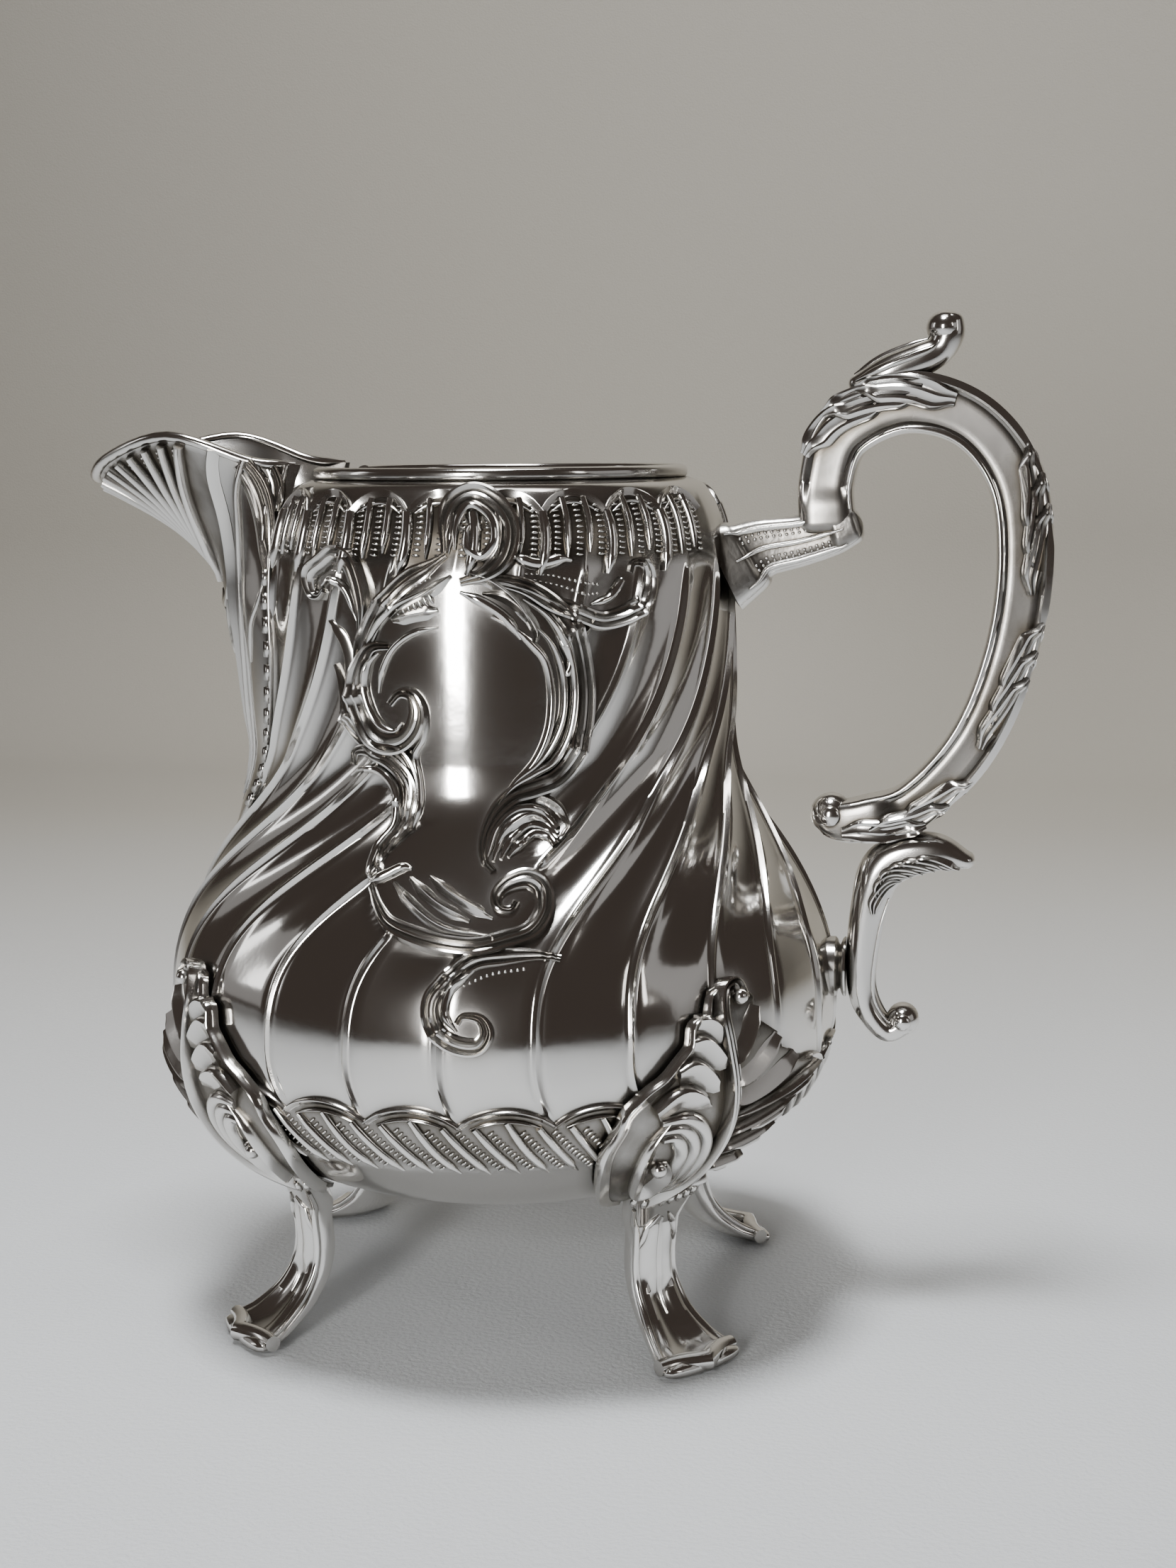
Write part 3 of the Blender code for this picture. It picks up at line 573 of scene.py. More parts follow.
def bead_tree():
    """Beads or small blocks set at even spacing along edges that carry the surface's normal."""
    tree = new_tree("beads_along_paths", [
        ("Spacing", "NodeSocketFloat", 0.0005), ("Along", "NodeSocketFloat", 0.0002),
        ("Across", "NodeSocketFloat", 0.0004), ("Height", "NodeSocketFloat", 0.0002),
        ("Block", "NodeSocketBool", False), ("Material", "NodeSocketMaterial", None)])
    given = tree.nodes.new("NodeGroupInput").outputs
    curve = node(tree, "GeometryNodeMeshToCurve", mesh=given["Geometry"])
    dense = node(tree, "GeometryNodeResampleCurve", {"mode": "LENGTH"}, curve=curve.outputs[0],
                 length=given["Spacing"])
    up = node(tree, "GeometryNodeInputNamedAttribute", {"data_type": "FLOAT_VECTOR"}, name="up")
    along = node(tree, "GeometryNodeInputTangent")
    turn = node(tree, "FunctionNodeAxesToRotation", {"primary_axis": "Z", "secondary_axis": "X"},
                primary_axis=up.outputs[0], secondary_axis=along.outputs[0])
    size = node(tree, "ShaderNodeCombineXYZ", x=given["Along"], y=given["Across"], z=given["Height"])
    ball = node(tree, "GeometryNodeMeshUVSphere", segments=8, rings=5, radius=1.0)
    block = node(tree, "GeometryNodeMeshCube", size=(2.0, 2.0, 2.0))
    shape = node(tree, "GeometryNodeSwitch", {"input_type": "GEOMETRY"}, switch=given["Block"],
                 false=ball.outputs[0], true=block.outputs[0])
    placed = node(tree, "GeometryNodeInstanceOnPoints", points=dense.outputs[0], instance=shape.outputs[0],
                  rotation=turn.outputs[0], scale=size.outputs[0])
    real = node(tree, "GeometryNodeRealizeInstances", geometry=placed.outputs[0])
    smooth = node(tree, "GeometryNodeSetShadeSmooth", geometry=real.outputs[0])
    painted = node(tree, "GeometryNodeSetMaterial", geometry=smooth.outputs[0], material=given["Material"])
    tree.links.new(painted.outputs[0], tree.nodes.new("NodeGroupOutput").inputs[0])
    return tree


def round_tree():
    """Copies of one unit, turned about the jug's axis by each point's own angle."""
    tree = new_tree("units_round_axis", [
        ("Unit", "NodeSocketObject", None), ("Axis X", "NodeSocketFloat", 0.0),
        ("Material", "NodeSocketMaterial", None)])
    given = tree.nodes.new("NodeGroupInput").outputs
    unit_info = node(tree, "GeometryNodeObjectInfo", object=given["Unit"])
    centre = node(tree, "ShaderNodeCombineXYZ", x=given["Axis X"])
    back = node(tree, "ShaderNodeVectorMath", {"operation": "SCALE"}, vector=centre.outputs[0], scale=-1.0)
    centred = node(tree, "GeometryNodeTransform", geometry=unit_info.outputs["Geometry"],
                   translation=back.outputs[0])
    turn = node(tree, "GeometryNodeInputNamedAttribute", {"data_type": "FLOAT"}, name="turn")
    spin = node(tree, "ShaderNodeCombineXYZ", z=turn.outputs[0])
    placed = node(tree, "GeometryNodeInstanceOnPoints", points=given["Geometry"], instance=centred.outputs[0],
                  rotation=spin.outputs[0])
    real = node(tree, "GeometryNodeRealizeInstances", geometry=placed.outputs[0])
    painted = node(tree, "GeometryNodeSetMaterial", geometry=real.outputs[0], material=given["Material"])
    tree.links.new(painted.outputs[0], tree.nodes.new("NodeGroupOutput").inputs[0])
    return tree


def evaluated_mesh(name, obj, tree, values):
    """Runs a tree on an object with its inputs set, and keeps the result as a plain object."""
    modifier = obj.modifiers.new(tree.name, "NODES")
    modifier.node_group = tree
    for item in tree.interface.items_tree:
        if item.in_out == "INPUT" and item.name in values:
            modifier[item.identifier] = values[item.name]
    depsgraph = bpy.context.evaluated_depsgraph_get()
    obj.update_tag()
    bpy.context.view_layer.update()
    mesh = bpy.data.meshes.new_from_object(obj.evaluated_get(depsgraph), depsgraph=depsgraph)
    obj.modifiers.remove(modifier)
    bpy.data.objects.remove(obj)
    mesh.name = name
    made = bpy.data.objects.new(name, mesh)
    bpy.context.scene.collection.objects.link(made)
    return made


def path_object(name, surface, paths, lift=0.0):
    """Edges along (u, v) paths on a surface, with the surface's normal kept as `up`."""
    points, edges, ups = [], [], []
    for path in paths:
        path = np.asarray(path, float)
        base = surface.at(path[:, 0], path[:, 1], lift)
        ups.append(unit(surface.at(path[:, 0], path[:, 1], lift + 0.5) - base))
        first = sum(len(p) for p in points)
        edges += [(first + i, first + i + 1) for i in range(len(path) - 1)]
        points.append(base)
    mesh = bpy.data.meshes.new(name)
    places = np.vstack(points) * MM
    places[:, 0] += AXIS_X
    mesh.from_pydata(places, edges, [])
    mesh.attributes.new("up", "FLOAT_VECTOR", "POINT").data.foreach_set("vector", np.vstack(ups).ravel())
    obj = bpy.data.objects.new(name, mesh)
    bpy.context.scene.collection.objects.link(obj)
    return obj


def beads(name, surface, paths, spacing, size, material, lift=0.0, block=False):
    """Beads along paths; sizes are half-lengths along, across and up, in mm."""
    values = {"Spacing": spacing * MM, "Along": size[0] * MM, "Across": size[1] * MM, "Height": size[2] * MM,
              "Block": block, "Material": material}
    tree = bpy.data.node_groups.get("beads_along_paths") or bead_tree()
    return evaluated_mesh(name, path_object(name + "_paths", surface, paths, lift), tree, values)


def round_axis(name, unit_object, turns, material):
    """Copies of a unit at the given angles in degrees."""
    mesh = bpy.data.meshes.new(name)
    mesh.from_pydata([(AXIS_X, 0, 0)] * len(turns), [], [])
    mesh.attributes.new("turn", "FLOAT", "POINT").data.foreach_set("value", np.radians(turns))
    points = bpy.data.objects.new(name, mesh)
    bpy.context.scene.collection.objects.link(points)
    tree = bpy.data.node_groups.get("units_round_axis") or round_tree()
    made = evaluated_mesh(name + "_made", points, tree,
                          {"Unit": unit_object, "Axis X": AXIS_X, "Material": material})
    bpy.data.objects.remove(unit_object)
    made.name = name
    return made


def join_meshes(name, *objects):
    """One object from several, all at the origin."""
    with bpy.context.temp_override(active_object=objects[0], selected_editable_objects=list(objects)):
        bpy.ops.object.join()
    objects[0].name = name
    return objects[0]


# ---------------------------------------------------------------- materials

def mix_colours(tree, first, second, factor):
    """Blends two colours by a factor socket into the base colour of the tree's shader."""
    mix = tree.nodes.new("ShaderNodeMix")
    mix.data_type = "RGBA"
    colours = [s for s in mix.inputs if s.type == "RGBA"]
    colours[0].default_value, colours[1].default_value = (*first, 1), (*second, 1)
    tree.links.new(factor, mix.inputs[0])
    blended = next(s for s in mix.outputs if s.type == "RGBA")
    tree.links.new(blended, tree.nodes["Principled BSDF"].inputs["Base Color"])


def silver_material(name, finish, roughness, darkening, stipple=0.0):
    """Metal with soft dents, dark with tarnish in its recesses and where its ground was struck, and darkened
    with painted shade on the handle's cheeks, standing for the dark room they reflect.
    """
    material = bpy.data.materials.new(name)
    material.use_nodes = True
    tree = material.node_tree
    shader = tree.nodes["Principled BSDF"]
    shader.inputs["Metallic"].default_value = 1.0
    shader.inputs["Specular Tint"].default_value = (0.97, 0.96, 0.94, 1)
    place = tree.nodes.new("ShaderNodeTexCoord")
    cloud = node(tree, "ShaderNodeTexNoise", vector=place.outputs["Object"], scale=160.0, detail=4.0)
    open_sky = node(tree, "ShaderNodeAmbientOcclusion", {"samples": 6}, distance=0.0022)
    depth = node(tree, "ShaderNodeMapRange", value=open_sky.outputs["AO"], from_min=0.48, from_max=0.97,
                 to_min=darkening, to_max=0.0)
    patchy = node(tree, "ShaderNodeMapRange", value=cloud.outputs[0], from_min=0.3, from_max=0.7,
                  to_min=0.75, to_max=1.1)
    # Per-point darkening from the mesh: tarnish of struck ground, and painted shade on the handle's cheeks
    struck = node(tree, "ShaderNodeAttribute", {"attribute_name": "patina"})
    both = node(tree, "ShaderNodeMath", {"operation": "ADD"})
    tree.links.new(depth.outputs[0], both.inputs[0])
    tree.links.new(struck.outputs["Fac"], both.inputs[1])
    tarnish_and_shade_mask = node(tree, "ShaderNodeMath", {"operation": "MULTIPLY", "use_clamp": True})
    tree.links.new(both.outputs[0], tarnish_and_shade_mask.inputs[0])
    tree.links.new(patchy.outputs[0], tarnish_and_shade_mask.inputs[1])
    mix_colours(tree, finish.silver, finish.tarnish_and_shade, tarnish_and_shade_mask.outputs[0])
    dull = node(tree, "ShaderNodeMapRange", value=tarnish_and_shade_mask.outputs[0], from_min=0.0, from_max=1.0,
                to_min=roughness, to_max=0.30)
    tree.links.new(dull.outputs[0], shader.inputs["Roughness"])
    fine = node(tree, "ShaderNodeTexNoise", vector=place.outputs["Object"], scale=900.0 if stipple else 420.0,
                detail=2.0)
    dents = node(tree, "ShaderNodeTexNoise", vector=place.outputs["Object"], scale=75.0, detail=1.0)
    dented = node(tree, "ShaderNodeBump", height=dents.outputs[0], strength=1.0, distance=0.00009)
    bump = node(tree, "ShaderNodeBump", height=fine.outputs[0], strength=1.0,
                distance=stipple if stipple else 0.000011, normal=dented.outputs[0])
    tree.links.new(bump.outputs[0], shader.inputs["Normal"])
    return material


def cloth_material(settings):
    """Plain cotton: pale round the jug, a little warmer and darker towards the back of the table."""
    material = bpy.data.materials.new("plain_cloth")
    material.use_nodes = True
    tree = material.node_tree
    shader = tree.nodes["Principled BSDF"]
    shader.inputs["Roughness"].default_value = 0.85
    place = tree.nodes.new("ShaderNodeTexCoord")
    axes = node(tree, "ShaderNodeSeparateXYZ", vector=place.outputs["Object"])
    rise = node(tree, "ShaderNodeMapRange", value=axes.outputs["Y"], from_min=0.03, from_max=0.36)
    mix_colours(tree, settings.cloth, settings.backdrop, rise.outputs[0])
    weave = node(tree, "ShaderNodeTexNoise", vector=place.outputs["Object"], scale=1500.0, detail=2.0)
    bump = node(tree, "ShaderNodeBump", height=weave.outputs[0], strength=1.0, distance=0.00012)
    tree.links.new(bump.outputs[0], shader.inputs["Normal"])
    return material


def finishes():
    """The three silvers, made once."""
    finish = bpy.context.scene.jug_finish
    made = {}
    for name, rough, dark, stipple in (("polished_silver", finish.polished, 0.78, 0.0),
                                       ("cast_silver", finish.cast, 0.82, 0.0),
                                       ("matted_silver", finish.matted, 0.85, 0.00005)):
        label = name + "_finish"
        made[name] = bpy.data.materials.get(label) or silver_material(label, finish, rough, dark, stipple)
    return made


# ---------------------------------------------------------------- body and rim

# Where the columns of faces stand across one flute, closer at its ridge
FLUTE_SHARES = (0, 0.025, 0.05, 0.08, 0.12, 0.19, 0.28, 0.39, 0.5, 0.61, 0.72, 0.81, 0.88, 0.92, 0.95, 0.975)
# Rows of faces every so many mm below and above this height, and the gap left under the rim band
BELLY_STEP, NECK_STEP, SWIRL_START, GAP = 0.55, 0.48, 44, 0.02
# Outer columns for each inner one, and the tarnish inside the body
COARSER, INSIDE_PATINA = 4, 0.35
# The V behind the spout: where it starts and ends along X, its foot, its top and its half width there
NOTCH_START, NOTCH_END, NOTCH_FOOT, NOTCH_TOP, NOTCH_HALF_WIDTH = -7.6, -60, 68, 142, 20


def body_mesh(form):
    """The raised sheet: columns that follow the flutes, a round base, and a plain inner wall."""
    soup = Soup()
    phases = (np.arange(form.flutes)[:, None] + np.array(FLUTE_SHARES)[None, :]).ravel() * 360 / form.flutes
    columns = len(phases)
    coarse = columns // COARSER
    under = form.belly_height - form.base
    base = [form.belly_height - under * math.cos(math.radians(a)) ** (2 / BASE_POWER)
            for a in np.linspace(9, 62, 20)]
    heights = np.r_[base, np.arange(base[-1] + BELLY_STEP, SWIRL_START, BELLY_STEP)]
    heights = np.r_[heights, np.arange(heights[-1] + NECK_STEP, form.seat - 0.2, NECK_STEP), form.seat - GAP]
    rows = np.stack([form.at(phases - FIRST_FLUTE + form.swirl(z), z, 0.0) for z in heights])
    edge = len(rows) * columns
    faces = grid_faces(len(rows), columns, wrap=True)
    inner = []
    inner_phase = phases[::COARSER]
    for z in np.r_[form.seat - GAP, np.linspace(form.seat - 2, form.base + 1.5, 60)]:
        radius = np.full(coarse, max(float(form.radius(z)) - form.wall, 0.0))
        if z > form.seat - 0.1:
            radius[:] = form.rim_radius - form.wall
        angle = np.radians(inner_phase - FIRST_FLUTE + form.swirl(z))
        inner.append(np.column_stack([radius * np.cos(angle), radius * np.sin(angle), np.full(coarse, z)]))
    top = (len(rows) - 1) * columns
    for j in range(coarse):
        outer_run = [top + (COARSER * j + k) % columns for k in range(COARSER + 1)]
        faces.append(tuple(outer_run + [edge + (j + 1) % coarse, edge + j]))
    faces += grid_faces(len(inner), coarse, wrap=True, start=edge)
    poles = edge + len(inner) * coarse
    last = poles - coarse
    faces += [(last + j, last + (j + 1) % coarse, poles) for j in range(coarse)]
    faces += [((j + 1) % columns, j, poles + 1) for j in range(columns)]
    points = np.vstack([rows.reshape(-1, 3), np.vstack(inner), [[0, 0, form.base + 1.0], [0, 0, form.base]]])
    ground = np.array([form.struck_ground(phases - FIRST_FLUTE + form.swirl(z), z) for z in heights])
    soup.add(points, faces, np.r_[ground.ravel(), np.full(len(points) - ground.size, INSIDE_PATINA)])
    return soup


def turned_soup(profile, segments):
    """A closed ring turned about the axis from a closed profile of (radius, height) points."""
    soup = Soup()
    profile = np.array(profile, float)
    angle = 2 * np.pi * np.arange(segments) / segments
    points = np.stack([profile[:, 0][None, :] * np.cos(angle)[:, None],
                       profile[:, 0][None, :] * np.sin(angle)[:, None],
                       np.broadcast_to(profile[:, 1][None, :], (segments, len(profile)))], axis=-1)
    count = len(profile)
    faces = [(i * count + j, i * count + (j + 1) % count, ((i + 1) % segments) * count + (j + 1) % count,
              ((i + 1) % segments) * count + j) for i in range(segments) for j in range(count)]
    soup.add(points, faces)
    return soup


def cut_spout_notch(*objects):
    """Cuts the V behind the spout, through which the cream runs out."""
    soup = Soup()
    corners = ((0, NOTCH_FOOT), (NOTCH_HALF_WIDTH, NOTCH_TOP), (-NOTCH_HALF_WIDTH, NOTCH_TOP))
    soup.add([(x, y, z) for x in (NOTCH_START, NOTCH_END) for y, z in corners],
             [(0, 1, 2), (5, 4, 3), (0, 3, 4, 1), (1, 4, 5, 2), (2, 5, 3, 0)])
    cutter = make_mesh("notch_cutter", soup)
    for obj in objects:
        modifier = obj.modifiers.new("notch", "BOOLEAN")
        modifier.operation, modifier.solver, modifier.object = "DIFFERENCE", "MANIFOLD", cutter
        bpy.context.view_layer.update()
        depsgraph = bpy.context.evaluated_depsgraph_get()
        mesh = bpy.data.meshes.new_from_object(obj.evaluated_get(depsgraph), depsgraph=depsgraph)
        if len(mesh.vertices) < 8:
            raise RuntimeError(f"the notch removed all of {obj.name}")
        obj.modifiers.remove(modifier)
        obj.data = mesh
        mesh.set_sharp_from_angle(angle=math.radians(50))
    bpy.data.objects.remove(cutter)


class JUG_OT_body(bpy.types.Operator):
    """Raise the swirl-fluted body and solder on its rim band."""
    bl_idname = "cream_jug.body"
    bl_label = "Body and rim"

    def execute(self, context):
        form = BodyForm(context.scene.jug_sizes)
        body = make_mesh("body_silver", body_mesh(form), sharp=50)
        band_wall, radius, top = 1.1, form.rim_radius, form.rim_height
        band = make_mesh("rim_silver", turned_soup(
            [(radius, form.seat), (radius + 0.25, form.seat + 0.25), (radius + 0.3, top - 0.55),
             (radius + 0.1, top - 0.2), (radius - 0.25, top - 0.03), (radius - 0.55, top),
             (radius - 0.9, top - 0.1), (radius - band_wall, top - 0.4), (radius - band_wall, form.seat)],
            192), sharp=50)
        cut_spout_notch(body, band)
        silver = finishes()["polished_silver"]
        add_piece(body, silver, "polished_silver", "body_shell")
        add_piece(band, silver, "polished_silver", "rim_band")
        return {"FINISHED"}


# ---------------------------------------------------------------- chased bands

# Degrees by which the upper band stops short of the arm and of the spout, and the dashes' spacing in mm
ARM_CLEARANCE, SPOUT_CLEARANCE, DASH_SPACING = 14, 32, 0.62


def dash_lines(lines, start=0.06, stop=0.94):
    """Paths sampled finely between two shares of each line's length."""
    found = []
    for line in lines:
        path = catmull([tuple(p) + (0.0,) for p in line], 8)[:, :2]
        low, high = int(start * (len(path) - 1)), int(math.ceil(stop * (len(path) - 1)))
        found.append(path[low:high + 1])
    return found


def add_scallop(soup, form, step, edge, height, line_drop):
    """The arched edge of one scallop, with a fine line under it."""
    cusp, rise, roundness = edge
    arc = [(x * step, cusp + rise * math.sin(math.pi * x) ** roundness) for x in np.linspace(0, 1, 9)]
    add_stroke(soup, form, arc, 0.42, height, section=STEP, spans=2, taper=(0.9, 0.9))
    add_stroke(soup, form, [(a, z - line_drop) for a, z in arc[1:-1]], 0.22, 0.34, spans=2, taper=(0.4, 0.4))


def upper_unit(form):
    """One scallop of the band under the rim: its edge, the rib at its cusp and two finer ribs."""
    soup = Soup()
    step = 360 / form.scallops
    add_scallop(soup, form, step, UPPER_EDGE, 0.62, 1.0)
    add_stroke(soup, form, [(0, 100.0), (0.5, 98.2), (0.2, 95.8), (-1.2, 93.2)], 0.75, 0.85, spans=4,
               taper=(0.9, 0.25))
    for k, low in enumerate((95.0, 95.6)):
        a = step * (k + 1) / 3
        add_stroke(soup, form, [(a, 101.5), (a + 0.5, 98.8), (a, low)], 0.46, 0.62, spans=4,
                   taper=(0.9, 0.25))
    return soup


def upper_dashes(form):
    """The ladders of short dashes between the ribs of one scallop."""
    places = [360 / form.scallops * (k + 0.58) / 3 for k in range(3)]
    return [[(a, 100.8), (a + 0.4, 98.4), (a - 0.2, 95.4)] for a in places]


def lower_unit(form):
    """One leaf of the band where the flutes end: its arched edge and three raised strips."""
    soup = Soup()
    step = 360 / form.flutes
    add_scallop(soup, form, step, LOWER_EDGE, 0.6, 1.1)
    for k in range(3):
        a = step * (k + 0.5) / 3
        add_stroke(soup, form, [(a, 33.6 if k != 1 else 34.4), (a + 3.2, 30.6), (a + 7.2, 27.4)], 0.50, 0.55,
                   spans=5, taper=(0.8, 0.12))
    return soup


def lower_dashes(form):
    """The ladders of short dashes between the strips of one leaf."""
    places = [360 / form.flutes * k / 3 for k in range(3)]
    return [[(a, 33.0), (a + 3.2, 30.5), (a + 6.6, 28.2)] for a in places]


class JUG_OT_bands(bpy.types.Operator):
    """Chase the scalloped band under the rim and the leaf band where the flutes end."""
    bl_idname = "cream_jug.bands"
    bl_label = "Chased bands"

    def execute(self, context):
        form = BodyForm(context.scene.jug_sizes)
        form.fluted = False
        silver = finishes()["polished_silver"]
        upper_step, lower_step = 360 / form.scallops, 360 / form.flutes
        upper = [half_turn(-UPPER_START + upper_step * k) for k in range(form.scallops)]
        upper = [turn for turn in upper if abs(turn + upper_step / 2) > ARM_CLEARANCE
                 and abs(abs(turn + upper_step / 2) - 180) > SPOUT_CLEARANCE]
        lower = [half_turn(-LOWER_START + lower_step * k) for k in range(form.flutes)]
        for name, unit_soup, dashes, turns, dash_size in (
                ("upper_band", upper_unit(form), upper_dashes(form), upper, (0.17, 0.52, 0.26)),
                ("lower_band", lower_unit(form), lower_dashes(form), lower, (0.16, 0.5, 0.22))):
            ladder = beads(name + "_dashes", form, dash_lines(dashes), DASH_SPACING, dash_size, silver)
            whole = join_meshes(name + "_unit", make_mesh(name + "_ribs", unit_soup), ladder)
            band = round_axis(name, whole, turns, silver)
            add_piece(band, silver, "polished_silver")
        return {"FINISHED"}


# ---------------------------------------------------------------- cartouches

# How much wider and higher the scrollwork is struck than its tables say, and wider again where reeded
WIDER, HIGHER, REEDED_WIDER = 1.5, 1.75, 1.35
# Raised scrollwork of the near cartouche, as add_strokes takes it, over (azimuth, height)
UPPER_LEFT = (
    (0.62, 0.62, REED, ((-113, 86), (-112.3, 90), (-115, 94.4), (-120, 95.3), (-125, 94.2), (-129, 93),
        (-128.8, 91), (-126.5, 90.6), (-124.5, 91.3))),
    (0.36, 0.42, RIDGE, ((-125, 91.8), (-121, 92.6), (-116.5, 91.5), (-113.5, 88))),
    (0.62, 0.66, REED, ((-90.5, 95.5), (-95, 94), (-100, 92.5), (-105, 90), (-109, 87), (-112, 84),
        (-113.5, 81.5))),
    (0.32, 0.4, RIDGE, ((-93, 92), (-98, 90.8), (-103, 89.5), (-108, 86.8), (-110.8, 84))),
    (0.6, 0.4, KNIFE, ((-103, 88.2), (-98, 88.9), (-92, 89.4))),
)
LEFT_VOLUTE = (
    (0.66, 0.68, REED, ((-104, 85.3), (-108.5, 85), (-111.5, 83), (-113, 80.5), (-112, 77.5),
        (-109, 75.2), (-105, 74.2), (-101, 74.5), (-98, 76), (-97, 78), (-98.5, 79.8), (-101.5, 80),
        (-104, 78.8))),
    (0.4, 0.48, RIDGE, ((-106.5, 84.5), (-109.5, 83), (-110.5, 80.5), (-109, 78), (-106.5, 76.3),
        (-103, 75.7), (-101, 76.6))),
    (0.55, 0.55, REED, ((-120.5, 82.8), (-117, 78), (-113.5, 75), (-108, 73.6), (-103, 73.3), (-100, 72),
        (-98.3, 69), (-99, 66), (-101.5, 64.5), (-102.5, 62.5))),
    (0.55, 0.45, KNIFE, ((-120.5, 87.8), (-117, 84.5), (-116, 80))),
    (0.58, 0.55, REED, ((-115.5, 71.5), (-114.5, 73), (-110, 73.3), (-105, 72.6), (-101, 71), (-98.9, 69),
        (-98.8, 66.8), (-100.9, 65), (-102.9, 63.5), (-103.6, 61.5), (-102, 60.2))),
    (0.42, 0.45, RIDGE, ((-115.5, 70.3), (-113, 71), (-108, 71.2), (-104, 70), (-102, 68), (-102.3, 65.5),
        (-104.3, 64), (-105.5, 62.8), (-105.3, 60.5), (-103, 59.3))),
)
FOOT_SCROLL = (
    (0.45, 0.45, RIDGE, ((-104, 59.3), (-100.5, 60.3), (-98, 61), (-96, 60.9))),
    (0.62, 0.62, REED, ((-103.5, 59), (-101, 57), (-98, 55.3), (-93, 54.2), (-88, 53.5), (-83, 53.3),
        (-78, 54), (-73.5, 55), (-71, 57), (-71, 59), (-73.5, 60), (-77, 59.6), (-79.3, 58.5),
        (-79, 57.3), (-77, 57), (-75.8, 57.8))),
    (0.5, 0.44, KNIFE, ((-99, 59.5), (-94, 57), (-88, 55), (-80, 54.3))),
    (0.5, 0.44, KNIFE, ((-96, 60), (-90, 57.5), (-84, 55.9))),
    (0.5, 0.44, KNIFE, ((-92, 60.2), (-88, 58.6), (-84, 57.3), (-80, 56.2))),
    (0.55, 0.6, REED, ((-69, 52), (-73, 52.5), (-78, 52.5), (-83, 52), (-87, 50), (-89.5, 47.8),
        (-89, 45), (-86, 43.3), (-82.5, 43), (-81, 44.5), (-82, 46), (-84.5, 46.3), (-85.5, 45.5))),
    (0.36, 0.45, RIDGE, ((-83, 51), (-86.5, 49), (-87.3, 46.5), (-85.5, 44.6))),
)
RIGHT_FRAME = (
    (0.6, 0.66, REED, ((-80, 60.8), (-81.8, 62), (-82, 64), (-80, 66.5), (-76, 68.5), (-71, 69.3),
        (-66, 70.3), (-62, 72.5), (-59.5, 76), (-58.5, 80), (-59.5, 84), (-62, 87.5), (-66, 90),
        (-71, 91.8), (-77, 92.8), (-84, 92.6))),
    (0.4, 0.52, RIDGE, ((-80, 66.8), (-76, 69.4), (-71, 71), (-66.5, 72.4), (-63, 75.4), (-61.6, 79.5),
        (-62.3, 83.5), (-64.6, 86.6), (-68, 88.9), (-73, 90.6))),
    (0.34, 0.45, RIDGE, ((-79, 67.6), (-75, 70.2), (-70.6, 72), (-67.2, 74), (-64.6, 77), (-64, 80.2),
        (-64.8, 83.2), (-67, 85.8), (-70.4, 87.6))),
    (0.46, 0.42, KNIFE, ((-82, 61.4), (-81, 64.5), (-78, 67), (-74, 68.3), (-69, 68.3), (-65.5, 67.3),
        (-64, 65.5), (-65.2, 64.4))),
    (0.6, 0.5, KNIFE, ((-79.6, 63), (-77, 65), (-72, 66.4), (-67.5, 65.6))),
    (0.4, 0.45, RIDGE, ((-65.5, 86.5), (-63.5, 85), (-62.5, 83.5), (-63.5, 82.2), (-65.5, 83))),
    (0.42, 0.42, KNIFE, ((-82, 91.3), (-77, 90.8), (-72, 88.7), (-70, 86.7), (-70.5, 85.5))),
    (0.38, 0.4, KNIFE, ((-60.5, 86.2), (-57.6, 87.2), (-55.6, 88.8))),
)
MIRROR_EDGE = (
    (0.3, 0.34, RIDGE, ((-92, 87.5), (-98, 86.8), (-103, 85), (-105.8, 82.5), (-106.8, 80))),
    (0.36, 0.4, RIDGE, ((-80, 88.7), (-75, 87.3), (-71, 85.5), (-68, 83.5), (-66.8, 80), (-67.5, 76),
        (-70.5, 72.5), (-75, 70), (-79.6, 67))),
    (0.36, 0.42, RIDGE, ((-101, 80.3), (-97, 79.5), (-95.5, 77.5), (-96, 75), (-98, 73), (-97, 70),
        (-96.5, 67), (-98, 65))),
    (0.55, 0.45, KNIFE, ((-86, 93.6), (-80, 92.6), (-74.5, 90.4), (-70.8, 87.4))),
    (0.5, 0.45, KNIFE, ((-89, 93.2), (-94, 91.4), (-99, 90.1), (-103.6, 88.4))),
    (0.42, 0.45, RIDGE, ((-87, 91.4), (-82, 90.3), (-77, 88.6), (-73.5, 86.2))),
)
CREST_SHELL = (
    (0.72, 0.8, REED, ((-90.5, 95.7), (-90.3, 99), (-88.5, 101), (-84, 101.8), (-79, 100.8), (-76, 98.5),
        (-77, 95.5), (-81, 93.5), (-87, 92.5))),
    (0.46, 0.62, RIDGE, ((-88.3, 96), (-88, 99), (-86, 100.6), (-83, 100.6), (-79.6, 99.2), (-79.2, 96.9),
        (-82, 95.3), (-85, 96), (-85.5, 98), (-83.8, 99.0), (-82.2, 98.1))),
)
RIGHT_LEAF = (
    (0.5, 0.52, RIDGE, ((-76, 95.6), (-70, 94.5), (-64, 95), (-61.5, 94.8))),
    (0.58, 0.58, REED, ((-78, 92.3), (-72, 91.5), (-66, 90), (-60, 88.8), (-54, 87.9), (-48, 88.5),
        (-43.5, 90), (-41.5, 92), (-42.5, 94), (-45.5, 94.2), (-46.5, 93.2))),
    (0.36, 0.42, RIDGE, ((-57, 89.8), (-52, 90.5), (-49, 92.3), (-51.3, 91.6))),
)
SCROLLWORK = (UPPER_LEFT, LEFT_VOLUTE, FOOT_SCROLL, RIGHT_FRAME, MIRROR_EDGE, CREST_SHELL, RIGHT_LEAF)
# Middle of the crest's shell
CREST = (-83.4, 97.3)
